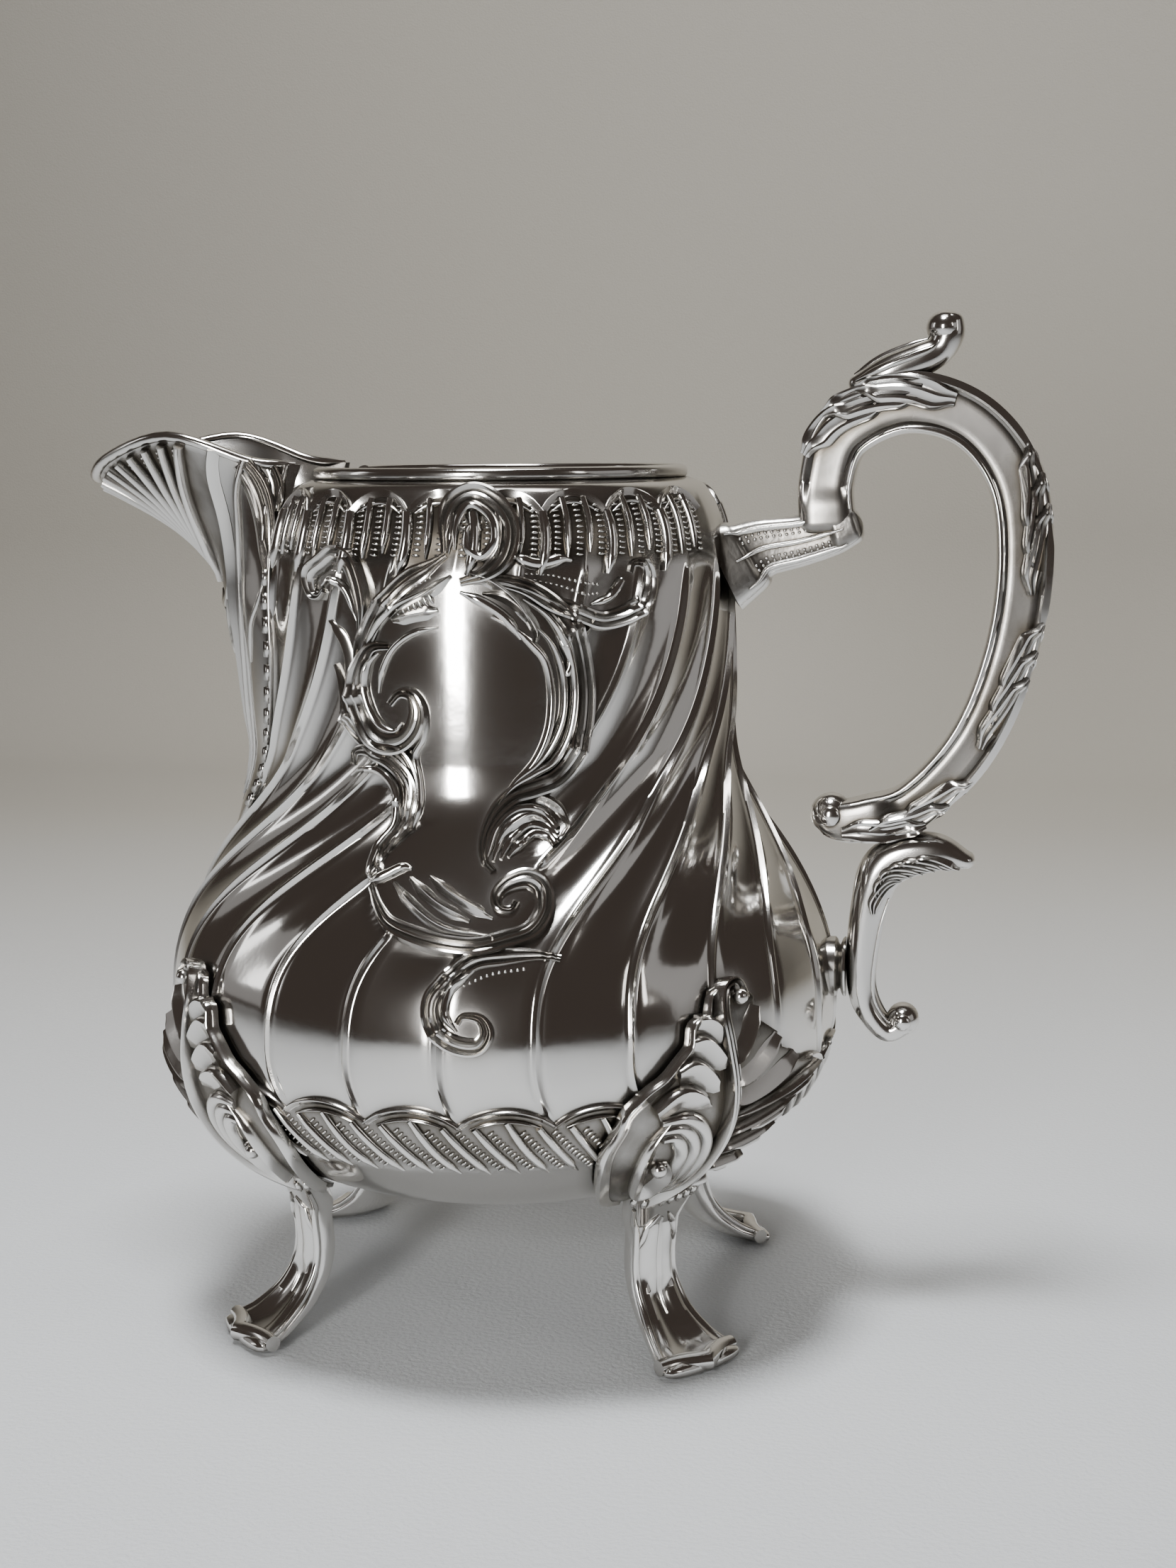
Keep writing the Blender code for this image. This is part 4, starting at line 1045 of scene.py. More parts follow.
# Places on the ground between the strokes that are struck with a small round punch
PUNCHED = (
    ((-72, 93.4), (-66, 93.2), (-60, 92.4), (-55, 92.0)),
    ((-70, 92.7), (-64, 92.0), (-59, 91.0), (-55, 91.0)),
    ((-107, 88.3), (-104, 89.4), (-99, 91.6), (-94, 93.0)),
    ((-121, 93.6), (-116, 93.2), (-113.6, 90.5)),
    ((-111.6, 74.6), (-106, 73.9)),
    ((-84.5, 49.5), (-80, 50.7), (-75, 51.1)),
)


class JUG_OT_cartouches(bpy.types.Operator):
    """Raise the scrollwork frame and its crest shell on each side of the body."""
    bl_idname = "cream_jug.cartouches"
    bl_label = "Scroll cartouches"

    def execute(self, context):
        form = BodyForm(context.scene.jug_sizes)
        silver = finishes()["polished_silver"]
        soup = Soup()
        for turn in SIDES:
            surface = Turned(form, turn)
            for group in SCROLLWORK:
                add_strokes(soup, surface, group, WIDER, HIGHER, REEDED_WIDER)
            for k in range(6):
                fan = math.radians(150 - 27 * k)
                ray = [(CREST[0] + wide * math.cos(fan), CREST[1] + tall * math.sin(fan))
                       for wide, tall in ((3.2, 1.8), (5.6, 3.3))]
                add_stroke(soup, surface, ray, 0.42, 0.42, section=KNIFE, spans=6, taper=(0.4, 0.8))
            for k in range(7):
                start = (-101 + 8.0 * k / 6, 88.6 + 1.5 * k / 6)
                add_stroke(soup, surface, [start, (start[0] - 1.8, start[1] + 1.6)], 0.3, 0.34, spans=5)
            for k in range(4):
                leaf_rib = [(-81.6 + 1.5 * k, 61.6 + 0.2 * k), (-79.6 + 1.5 * k, 65.2 - 0.6 * k),
                            (-75 + 1.1 * k, 67.2 - 0.8 * k), (-69.5 + 0.3 * k, 67.0 - 0.85 * k),
                            (-66.4 - 0.3 * k, 65.2 - 0.6 * k)]
                add_stroke(soup, surface, leaf_rib, 0.62, 0.6, spans=6, taper=(0.3, 0.8))
        scrolls = make_mesh("cartouche_strokes", soup)
        paths = [[(a + turn, z) for a, z in path] for turn in SIDES for path in PUNCHED]
        dots = beads("cartouche_punching", form, dash_lines(paths, 0, 1), DASH_SPACING, (0.19, 0.19, 0.13),
                     silver)
        add_piece(join_meshes("cartouches", scrolls, dots), silver, "polished_silver")
        return {"FINISHED"}


# ---------------------------------------------------------------- spout

# Ribs in each half of the fan, the share of the spout's width that it takes, and its patina
FAN_RIBS, FAN_WIDTH, FAN_PATINA = 9, 0.56, 0.8
# Raised lines on each half of the spout, as add_strokes takes them, over (share round it, share up it)
SPOUT_LINES = (
    (0.75, 0.9, STEP, ((0.64, 1.0), (0.6, 0.86), (0.58, 0.7), (0.5, 0.52), (0.36, 0.32), (0.16, 0.1)), 7,
        (1, 0.4)),
    (0.5, 0.7, RIDGE, ((0.73, 1.0), (0.69, 0.86), (0.66, 0.7), (0.59, 0.53), (0.46, 0.34), (0.28, 0.12)),
        7, (1, 0.4)),
    (0.34, 0.45, RIDGE, ((0.955, 0.99), (0.955, 0.8), (0.95, 0.6), (0.94, 0.4), (0.92, 0.2), (0.9, 0.06)),
        7, (0.9, 0.6)),
    (0.26, 0.36, RIDGE, ((0.86, 0.99), (0.86, 0.82), (0.86, 0.66)), 7, (0.9, 0.5)),
    (0.9, 0.9, REED, ((0.45, 0.6), (0.3, 0.48), (0.14, 0.44), (0.06, 0.5), (0.14, 0.54), (0.2, 0.51))),
    (0.7, 0.7, RIDGE, ((0.55, 0.64), (0.42, 0.57), (0.24, 0.55), (0.1, 0.58))),
    (0.6, 0.7, KNIFE, ((0.5, 0.52), (0.4, 0.42), (0.28, 0.24), (0.16, 0.08))),
    (0.6, 0.6, KNIFE, ((0.34, 0.4), (0.22, 0.28), (0.1, 0.1))),
    (0.3, 0.32, RIDGE, ((0.62, 0.6), (0.56, 0.44), (0.5, 0.26), (0.45, 0.1))),
    (0.36, 0.36, RIDGE, ((0.9, 0.62), (0.8, 0.56), (0.68, 0.5), (0.62, 0.42))),
    (1.0, 1.0, REED, ((0.97, 0.66), (0.91, 0.78), (0.82, 0.9), (0.74, 0.99)), 7, (0.5, 0.9)),
    (0.7, 0.7, KNIFE, ((0.9, 0.62), (0.83, 0.74), (0.76, 0.86), (0.7, 0.96)), 7, (0.4, 0.7)),
    (0.8, 0.8, REED, ((0.97, 0.8), (0.93, 0.9), (0.86, 0.985)), 7, (0.5, 0.9)),
)


class Mirrored:
    """Another surface with its u turned over."""

    def __init__(self, surface):
        self.surface = surface

    def at(self, u, v, lift):
        return self.surface.at(-np.asarray(u, float), v, lift)


def with_seam(grid, depth):
    """A grid of the spout's wall, with a column added at each side that turns in to the body."""
    def seam(column):
        reach = column.copy()
        reach[:, :2] *= 1 - depth / np.linalg.norm(column[:, :2], axis=1)[:, None]
        return reach[:, None]
    return np.concatenate([seam(grid[:, 0]), grid, seam(grid[:, -1])], axis=1)


class JUG_OT_spout(bpy.types.Operator):
    """Cast the spout: its wall, rolled lip, shell fan, double ridges and beaded joint."""
    bl_idname = "cream_jug.spout"
    bl_label = "Spout"

    def execute(self, context):
        body = BodyForm(context.scene.jug_sizes)
        outside, inside = SpoutForm(body), SpoutForm(body, 0.9)
        silver = finishes()["cast_silver"]
        soup = Soup()
        outer, inner = with_seam(outside.grid, 0.85), with_seam(inside.grid, 0.4)
        level = outside.places[:, None]
        aside = np.abs(np.pad(np.linspace(-1, 1, outside.grid.shape[1]), 1, mode="edge"))[None, :]
        fan = smoothstep(0.5, 0.62, level) * (1 - smoothstep(0.955, 0.985, level))
        fan = fan * (1 - smoothstep(FAN_WIDTH, FAN_WIDTH + 0.06, aside))
        add_sheet(soup, outer[:, ::-1], inner[:, ::-1], FAN_PATINA * fan + 0.3 * smoothstep(0.8, 0.9, aside))
        u = np.linspace(-1, 1, 97)
        lip = (outside.at(u, 1.0, 0.0) + inside.at(u, 1.0, 0.0)) / 2
        along = unit(np.gradient(lip, axis=0))
        rings = []
        turns = 2 * np.pi * np.arange(12) / 12
        for place, ahead, share_along in zip(lip, along, np.linspace(0, 1, len(lip))):
            side = unit(np.cross(ahead, [0.0, 0.0, 1.0]))
            up = np.cross(side, ahead)
            thick = 0.35 + 0.4 * smoothstep(0, 0.08, min(share_along, 1 - share_along))
            rings.append([place + thick * (math.cos(t) * side + 0.85 * math.sin(t) * up) for t in turns])
        add_rings(soup, rings)
        for surface in (Mirrored(outside), outside):
            add_strokes(soup, surface, SPOUT_LINES)
            for k in range(FAN_RIBS):
                aside = (k + 0.5) / FAN_RIBS * FAN_WIDTH
                rib = [(aside, 0.97), (aside * 0.86, 0.86), (aside * 0.62, 0.72), (aside * 0.34, 0.60)]
                add_stroke(soup, surface, rib, 0.40 + 0.65 * aside, 1.15, spans=6, taper=(0.9, 0.4))
        add_stroke(soup, outside, [(0, 0.52), (0, 0.3), (0, 0.06)], 0.5, 0.5, section=KNIFE)
        silverwork = make_mesh("spout_metal", soup, sharp=45)
        between = ((FAN_WIDTH, 0.95), (0.48, 0.84), (0.36, 0.73))
        rows = [[(side * out * (k + 1.0) / FAN_RIBS, v) for out, v in between]
                for side in (-1, 1) for k in range(FAN_RIBS - 1)]
        pearls = beads("spout_beads", outside, dash_lines(rows, 0, 1), 0.66, (0.26, 0.30, 0.42), silver,
                       lift=0.1)
        joint = [[(side * u, v) for u, v in ((0.905, 0.62), (0.905, 0.4), (0.88, 0.2), (0.86, 0.08))]
                 for side in (-1, 1)]
        blocks = beads("spout_joint_blocks", outside, dash_lines(joint, 0, 1), 2.6, (0.95, 0.42, 0.42),
                       silver, lift=0.1, block=True)
        piece = join_meshes("spout_casting", silverwork, pearls, blocks)
        add_piece(piece, silver, "cast_silver", "spout")
        return {"FINISHED"}


# ---------------------------------------------------------------- handle

# The loop's centre line in from its solid at the back and at the top, in mm as all of these
LOOP_BACK_INSET, LOOP_TOP_INSET = 3.4, 3.7
# The arm's drop under the rim, and how far out from the neck the loop starts
ARM_DROP, LOOP_START = 9.2, 11.2
# The height of the loop's lower end, and how far out from the body it stands
LOOP_END_HEIGHT, LOOP_END_REACH = 61.9, 6.8
# The thumb scroll's height over the loop, and the spool's above the table
THUMB_RISE, SPOOL_HEIGHT = 10.4, 43.6
# Groups of leaf lobes down the loop: their places, half width, height and run
LOOP_LOBES = (((0.085, 0.125, 0.165), 1.9, 1.15, 0.085), ((0.37, 0.405, 0.44), 1.5, 0.95, 0.085),
              ((0.585, 0.62, 0.655), 1.5, 0.95, 0.08), ((0.80, 0.84, 0.875), 1.5, 0.9, 0.075))


def recessed_cheeks(depth, start, end):
    """A relief that sinks the two cheeks of a bar between its raised edges."""
    def relief(u, v):
        cheek = np.abs(np.cos(np.radians(v)))
        window = smoothstep(start, start + 0.04, u) * (1 - smoothstep(end - 0.04, end, u))
        return -depth * smoothstep(0.76, 0.86, cheek) * window
    return relief


def add_lines(soup, bar, angles, places, half_width, height, **more):
    """Raised lines along a bar, one at each angle round it."""
    for v in angles:
        add_stroke(soup, bar, [(u, v) for u in places], half_width, height, **more)


def add_curled_end(soup, x, z, size, side, side_size):
    """A ball for the end of a curl, with a small button on each of its two sides."""
    add_ball(soup, (x, 0, z), size)
    for sign in (-1, 1):
        add_ball(soup, (x, sign * side, z), side_size)


def leaf_lobes(soup, bar, places, half_width, height, run):
    """Lobes of a leaf that leave the outer edge of a bar and lie back along both cheeks."""
    for u in places:
        for sign in (-1, 1):
            add_stroke(soup, bar, [(u, 90 - 36 * sign), (u + 0.16 * run, 90 - 52 * sign),
                                   (u + 0.48 * run, 90 - 68 * sign), (u + run, 90 - 82 * sign),
                                   (u + 1.3 * run, 90 - 78 * sign)],
                       half_width, height, section=REED, spans=6, taper=(0.3, 0.45))


class JUG_OT_handle(bpy.types.Operator):
    """Cast the handle: loop, arm, thumb scroll, spool and lower scroll."""
    bl_idname = "cream_jug.handle"
    bl_label = "Handle"

    def execute(self, context):
        form = BodyForm(context.scene.jug_sizes)
        silvers = finishes()
        silver, matted = silvers["cast_silver"], silvers["matted_silver"]
        back, top = (LOOP_HIGH.x - AXIS_X) / MM - LOOP_BACK_INSET, LOOP_HIGH.z / MM - LOOP_TOP_INSET
        arm_height, neck = form.rim_height - ARM_DROP, form.neck_radius
        foot, end = neck + LOOP_START, float(form.radius(LOOP_END_HEIGHT)) + LOOP_END_REACH
        rise, drop, depth, tuck = top - arm_height, top - LOOP_END_HEIGHT, back - foot, back - end

        # The loop: stations of radius, height, half depth and half width
        loop = BarForm([
            (foot + 0.3, arm_height + 1.9, 3.4, 2.5), (foot + 0.2, top - 0.55 * rise, 3.3, 2.65),
            (foot + 0.10 * depth, top - 0.2 * rise, 3.5, 2.95), (foot + 0.40 * depth, top, 3.65, 3.1),
            (foot + 0.73 * depth, top - 0.044 * drop, 3.4, 3.1),
            (foot + 0.95 * depth, top - 0.18 * drop, 3.4, 3.1), (back, top - 0.38 * drop, 3.3, 3.1),
            (back - 0.065 * tuck, top - 0.60 * drop, 3.15, 2.95),
            (back - 0.235 * tuck, top - 0.805 * drop, 3.0, 2.8),
            (back - 0.51 * tuck, top - 0.954 * drop, 2.9, 2.8),
            (back - 0.75 * tuck, top - 0.994 * drop, 2.8, 2.8), (back - 0.90 * tuck, top - drop, 2.4, 2.5),
            (end + 0.8, top - 0.988 * drop, 1.6, 2.0)], squareness=4, relief=recessed_cheeks(0.7, 0.02, 0.93))
        soup = Soup()
        # The cheeks' darkening is tarnish of the sunk ground plus painted shade for the dark room they
        # reflect
        add_bar(soup, loop, 200, 48, cheeks=0.7)
        for group in LOOP_LOBES:
            leaf_lobes(soup, loop, *group)
        add_lines(soup, loop, (-42, 222), np.linspace(0.02, 0.96, 21), 0.34, 0.42, spans=4)
        for v in (48, 132):
            for low, high in ((0.15, 0.42), (0.46, 0.60), (0.64, 0.84)):
                add_lines(soup, loop, (v,), np.linspace(low, high, 9), 0.5, 0.4, section=STEP, spans=4)
        add_curled_end(soup, end + 1.7, top - 0.988 * drop + 0.2, (2.6, 2.7, 2.6), 2.4, (1.3, 0.7, 1.3))
        add_piece(make_mesh("loop_casting", soup), silver, "cast_silver", "handle_loop")

        # The arm, its panels stippled
        arm = BarForm([
            (neck - 0.9, arm_height - 3.2, 5.6, 3.5), (neck + 1.6, arm_height - 2.0, 4.7, 2.9),
            (neck + 0.35 * (foot - neck), arm_height - 0.8, 3.6, 2.4),
            (foot - 3.0, arm_height, 3.1, 2.3), (foot + 1.0, arm_height + 1.1, 2.8, 2.5),
            (foot + 3.5, arm_height + 1.9, 2.2, 2.4)],
            squareness=3.4, relief=recessed_cheeks(0.4, 0.18, 0.86))
        soup = Soup()
        # The cheeks' darkening is tarnish of the stippled ground plus painted shade for the dark room they
        # reflect
        add_bar(soup, arm, 60, 48, (0.1, 0.4), cheeks=0.7)
        add_lines(soup, arm, (0, 180, 35, 145, -35, -145), (0.12, 0.3, 0.5, 0.7, 0.92), 0.36, 0.4, spans=5)
        metal = make_mesh("arm_metal", soup)
        rows = [[(u, v) for u in (0.22, 0.4, 0.6, 0.8)] for v in (-22, -12, 12, 22, 158, 168, 192, 202)]
        dots = beads("arm_stipple", arm, dash_lines(rows, 0, 1), 0.75, (0.22, 0.22, 0.16), matted)
        add_piece(join_meshes("arm_casting", metal, dots), matted, "matted_silver", "handle_arm")

        # The thumb scroll on top
        step = foot + 0.29 * depth
        thumb_top = top + THUMB_RISE
        thumb = BarForm([
            (step - 3.4, top + 2.2, 1.0, 1.8), (step + 0.4, top + 3.6, 1.9, 2.6),
            (step + 4.0, top + 4.9, 2.0, 2.6),
            (step + 6.4, (top + thumb_top) / 2 + 0.9, 1.75, 2.3),
            (step + 7.4, thumb_top - 2.4, 1.9, 2.4), (step + 7.6, thumb_top - 0.8, 1.6, 2.1)])
        soup = Soup()
        add_bar(soup, thumb, 60, 32)
        add_ball(soup, (step + 7.0, 0, thumb_top - 1.7), (2.2, 2.8, 2.0))
        add_lines(soup, thumb, (15, 90, 165), (0.02, 0.25, 0.5, 0.8), 0.5, 0.45, spans=6)
        add_piece(make_mesh("thumb_casting", soup), silver, "cast_silver", "thumb_scroll")

        # The turned spool
        seat, reach = float(form.radius(SPOOL_HEIGHT)), (SPOOL_HIGH.x - AXIS_X) / MM
        lathe = [(seat - 0.9, 3.7), (seat + 0.3, 3.7), (seat + 0.55, 3.4), (seat + 0.7, 2.9),
                 (seat + 0.95, 2.6), (reach - 0.75, 2.6), (reach - 0.6, 3.0), (reach - 0.4, 3.5),
                 (reach - 0.2, 3.7), (reach, 3.65)]
        angle = 2 * np.pi * np.arange(64) / 64
        soup = Soup()
        rings = [np.column_stack([np.full(64, x), r * np.cos(angle), SPOOL_HEIGHT + r * np.sin(angle)])
                 for x, r in lathe]
        add_rings(soup, rings)
        add_piece(make_mesh("spool_turning", soup), silver, "cast_silver", "handle_spool")

        # The lower scroll, with leaf lobes above and a curled foot
        face = reach + 1.8
        overhang, seam = back - face, LOOP_END_HEIGHT - 4.4
        scroll = BarForm([
            (face + 0.68 * overhang, seam - 0.2, 1.0, 2.2), (face + 0.45 * overhang, seam + 0.7, 2.4, 2.7),
            (face + 0.16 * overhang, seam - 1.0, 2.8, 2.7), (face + 1.0, 51.6, 2.3, 2.7),
            (face, SPOOL_HEIGHT, 1.8, 2.6), (face + 0.6, 39.1, 1.6, 2.3), (face + 3.2, 35.8, 1.4, 2.2),
            (face + 5.4, 36.8, 1.5, 2.2)])
        soup = Soup()
        add_bar(soup, scroll, 110, 40)
        leaf_lobes(soup, scroll, (0.02, 0.07, 0.12, 0.17, 0.22, 0.28), 0.8, 0.8, run=0.14)
        add_lines(soup, scroll, (55, 125), (0.40, 0.55, 0.7, 0.85, 0.97), 0.34, 0.34, spans=6)
        add_curled_end(soup, face + 5.2, 37.3, (2.0, 2.5, 2.0), 2.2, (1.05, 0.65, 1.05))
        add_piece(make_mesh("lower_scroll_casting", soup), silver, "cast_silver", "handle_lower_scroll")
        return {"FINISHED"}


# ---------------------------------------------------------------- legs and leaf mounts

# The leaf: patina of its ground, lifts of its face and its back in mm, its lowest and highest places
LEAF_GROUND, LEAF_FACE, LEAF_BACK, LEAF_FOOT, LEAF_TOP = 0.8, 1.05, 0.32, 20.4, 47.7
# How much wider and higher its lines are struck than their tables say, and how deep they are sunk in mm
LEAF_WIDER, LEAF_HIGHER, LEAF_BURY = 1.12, 1.5, 0.6
# The leaf's two edges, as (degrees from the leg's own azimuth, height)
SHELL_EDGE = ((-1.1, 47.9), (-4.8, 47.1), (-6, 44.5), (-9, 44.1), (-9.4, 41.7), (-11.7, 39.9),
    (-14, 38.3), (-16.7, 37.2), (-20, 35.2), (-20.8, 33.3), (-22.6, 30.4), (-22.4, 27.1), (-20.2, 23.5),
    (-15.8, 21.2), (-10.7, 20.1))
FAN_EDGE = ((1.2, 47.6), (4.2, 45.4), (3.4, 43.5), (9.4, 40.8), (8.8, 39.4), (14.3, 37.8), (15.6, 36.4),
    (24.2, 35.1), (22.5, 34.3), (15.9, 33.0), (15.6, 31.6), (12.5, 30.3), (11.6, 28.4), (8.4, 26.6),
    (7.0, 24.6), (4.5, 23.5), (2.0, 21.4), (-0.3, 20.3))
# The points of the fan that its ribs run out to
FAN_TIPS = ((3.4, 44.6), (8.6, 40.6), (13.6, 37.7), (22.6, 35.1), (15.2, 32.6), (11.8, 29.9), (8.0, 26.5),
    (4.2, 23.6))
# Raised lines of the leaf, as add_strokes takes them, over the same (degrees, height)
LEAF_SHELL = (
    (0.75, 0.65, STEP, ((-1.2, 47.2), (-4.6, 46.4), (-5.8, 44.2), (-8.4, 43.6), (-9.0, 41.4),
        (-11.2, 39.7), (-13.6, 38.0), (-16.4, 36.8), (-19.4, 34.9), (-20.4, 33), (-22, 30.3),
        (-21.8, 27.2), (-19.7, 23.8), (-15.6, 21.6), (-10.7, 20.7)), 5, (0.4, 0.3)),
    (0.95, 0.85, STEP, ((-12.0, 33.6), (-14.7, 30.6), (-15.0, 27), (-13.2, 24.3), (-10.8, 24.4),
        (-9.9, 26.6), (-11.2, 28.1), (-12.6, 27.4)), 6, (0.4, 0.3)),
)
LEAF_TONGUES = (
    (1.25, 0.85, STEP, ((-14.9, 34.6), (-10.4, 36.2), (-5.6, 34.4)), 6, (0.9, 0.35)),
    (1.25, 0.85, STEP, ((-11.6, 38.4), (-8.4, 38.8), (-4.6, 36)), 6, (0.9, 0.35)),
    (1.25, 0.85, STEP, ((-9.4, 41.4), (-6.8, 41.2), (-3.6, 38.4)), 6, (0.9, 0.35)),
    (1.25, 0.85, STEP, ((-8.2, 43.6), (-6.0, 43.2), (-3.4, 41)), 6, (0.9, 0.35)),
)
LEAF_SPINE = (
    (1.0, 1.15, REED, ((-5.4, 21.2), (-2.4, 26), (-0.9, 31), (-1.2, 36), (-2.6, 41), (-3.4, 44.4),
        (-2.6, 46.8), (-0.6, 47.2), (0.3, 45.6)), 6, (0.9, 0.8)),
)


class LeafForm:
    """The face of one leaf mount, over (degrees from its own leg, height)."""

    def __init__(self, body, azimuth, fan_side, lift=0.0):
        self.body, self.azimuth, self.side, self.lift = body, azimuth, fan_side, lift

    def at(self, away, height, lift):
        return self.body.at(self.azimuth + self.side * np.asarray(away, float), height, self.lift + lift)


def edge_at(edge, heights):
    points = np.array(sorted(edge, key=lambda point: point[1]))
    return np.interp(heights, points[:, 1], points[:, 0])


def shell_curls():
    """The nested curls round the shell's eye, each smaller than the last."""
    curls = []
    for inset in (1.0, 0.73, 0.46):
        points = [(-12.4 - 1.5 * inset, 29.6 + 3.9 * inset), (-12.4 + 3.4 * inset, 29.6 + 3.9 * inset),
                  (-12.4 + 7.4 * inset, 28.4 + 2.6 * inset), (-12.4 + 8.4 * inset, 27.4),
                  (-9.6 + 3.6 * inset, 26.4 - 4.2 * inset)]
        curls.append((0.95, 0.75, RIDGE, points, 6, (0.5, 0.3)))
    return curls


def fan_ribs():
    """A broad rib out to each point of the fan, and a fine one under it."""
    ribs = []
    for k, (away, height) in enumerate(FAN_TIPS):
        root = (-2.6 + 0.15 * k, 38.5 - 2.1 * k)
        middle = ((root[0] + away) / 2, (root[1] + height) / 2 - 0.9 + 0.15 * k)
        ribs.append((0.95, 0.8, STEP, [root, middle, (away, height)], 8, (0.45, 0.55)))
        fine = [(middle[0] - 0.6, middle[1] - 1.0), ((middle[0] + away) / 2, (middle[1] + height) / 2 - 1.1),
                (away - 1.0, height - 1.2)]
        ribs.append((0.45, 0.5, RIDGE, fine, 6, (0.4, 0.4)))
    return ribs


def add_leaf(soup, body, azimuth, fan_side):
    """The cast leaf: a domed patch with cut edges, nested curls on one side and a fan on the other."""
    heights = np.linspace(LEAF_FOOT, LEAF_TOP, 88)
    low, high = edge_at(SHELL_EDGE, heights), edge_at(FAN_EDGE, heights)
    spread = (1 - np.cos(np.linspace(0, np.pi, 41))) / 2
    away = low[:, None] + (high - low)[:, None] * spread[None, :]
    level = np.broadcast_to(heights[:, None], away.shape)
    dome = 0.85 + 0.35 * np.sin(np.pi * spread)[None, :] ** 0.6
    flat = LeafForm(body, azimuth, fan_side)
    outer, inner = flat.at(away, level, dome), flat.at(away, level, LEAF_BACK)
    add_sheet(soup, outer, inner, LEAF_GROUND)
    face = LeafForm(body, azimuth, fan_side, LEAF_FACE)
    for group in (LEAF_SHELL, shell_curls(), LEAF_TONGUES):
        add_strokes(soup, face, group, LEAF_WIDER, LEAF_HIGHER, bury=LEAF_BURY)
    add_ball(soup, face.at(-12.0, 27.6, 0.5), (0.95, 0.95, 0.95), 10, 16)
    for group in (fan_ribs(), LEAF_SPINE):
        add_strokes(soup, face, group, LEAF_WIDER, LEAF_HIGHER, bury=LEAF_BURY)
    add_ball(soup, face.at(0.0, 45.9, 0.8), (0.9, 0.9, 0.9), 10, 16)


# The toe's distance inside the belly's radius, and half the width of the roll that ends it
TOE_INSET, ROLL_HALF_WIDTH = 4.4, 5.8


def dished_face(u, v):
    """A relief that hollows the front of a leg between its edges, from the knee to the toe."""
    front = np.sin(np.radians(v))
    return -0.75 * smoothstep(0.86, 0.985, front) * smoothstep(0.48, 0.62, u)


def leg_bar(body, azimuth):
    """One leg, from under the belly down its shank and out to the toe."""
    toe = body.belly_radius - TOE_INSET
    shank, top = toe - 10.1, float(body.radius(20.8))
    return BarForm([
        (top + 1.6, 21.6, 1.9, 5.8), (0.4 * top + 0.6 * shank, 17.2, 2.0, 4.0), (shank + 0.3, 15.0, 1.9, 3.3),
        (shank, 11.0, 1.9, 3.2), (shank + 0.7, 7.8, 1.8, 3.3), (shank + 2.8, 4.7, 1.6, 3.7),
        (shank + 5.8, 2.35, 1.3, 4.7), (shank + 8.2, 1.35, 1.1, 5.6), (toe - 0.5, 1.15, 1.0, 5.9)],
        azimuth=azimuth, spans=10, relief=dished_face)


def toe_roll(body, azimuth):
    """Rings of the rolled edge that ends a leg, bent back a little at its two sides."""
    turn, heel, up = math.radians(azimuth), body.belly_radius - TOE_INSET - 0.9, np.array([0, 0, 1.0])
    places = []
    for k in range(13):
        side = -ROLL_HALF_WIDTH + 2 * ROLL_HALF_WIDTH * k / 12
        out = heel - 0.9 + 2.0 * (1 - abs(side) / ROLL_HALF_WIDTH) ** 2
        places.append([out * math.cos(turn) - side * math.sin(turn),
                       out * math.sin(turn) + side * math.cos(turn), 1.55])
    places = np.array(places)
    rings = []
    for k, (place, way) in enumerate(zip(places, unit(np.gradient(places, axis=0)))):
        across = np.cross(way, up)
        size = 1.2 * (0.6 + 0.4 * math.sin(math.pi * (k + 1) / 14) ** 0.5)
        rings.append([place + size * (math.cos(t) * across + math.sin(t) * up)
                      for t in 2 * np.pi * np.arange(14) / 14])
    return rings


class JUG_OT_legs(bpy.types.Operator):
    """Cast the four legs and their leaf mounts."""
    bl_idname = "cream_jug.legs"
    bl_label = "Legs and leaf mounts"

    def execute(self, context):
        body = BodyForm(context.scene.jug_sizes)
        body.fluted = False
        silver = finishes()["cast_silver"]
        for name, (azimuth, fan_side) in LEGS.items():
            soup = Soup()
            add_leaf(soup, body, azimuth, fan_side)
            add_piece(make_mesh("leaf_" + name, soup, sharp=50), silver, "cast_silver", "leaf_mount_" + name)
            soup = Soup()
            bar = leg_bar(body, azimuth)
            add_bar(soup, bar, 90, 36, (0.2, 0.3))
            add_lines(soup, bar, (28, 152), (0.1, 0.3, 0.5, 0.7, 0.95), 0.45, 0.45, spans=6, taper=(0.6, 0.8))
            for sign in (-1, 1):
                knee = [(0.14, 90 - 6 * sign), (0.24, 90 - 30 * sign), (0.34, 90 - 55 * sign)]
                add_stroke(soup, bar, knee, 0.4, 0.4, spans=6)
            add_lines(soup, bar, (90,), (0.16, 0.35, 0.55, 0.7), 0.34, 0.45, section=KNIFE, spans=6)
            add_rings(soup, toe_roll(body, azimuth))
            metal = make_mesh("leg_metal_" + name, soup)
            collar = [[(0.045, v) for v in np.linspace(25, 155, 12)]]
            blocks = beads("collar_" + name, bar, dash_lines(collar, 0, 1), 1.15, (0.42, 0.85, 0.45), silver)
            add_piece(join_meshes("leg_casting_" + name, metal, blocks), silver, "cast_silver", "leg_" + name)
        return {"FINISHED"}


# ---------------------------------------------------------------- stage

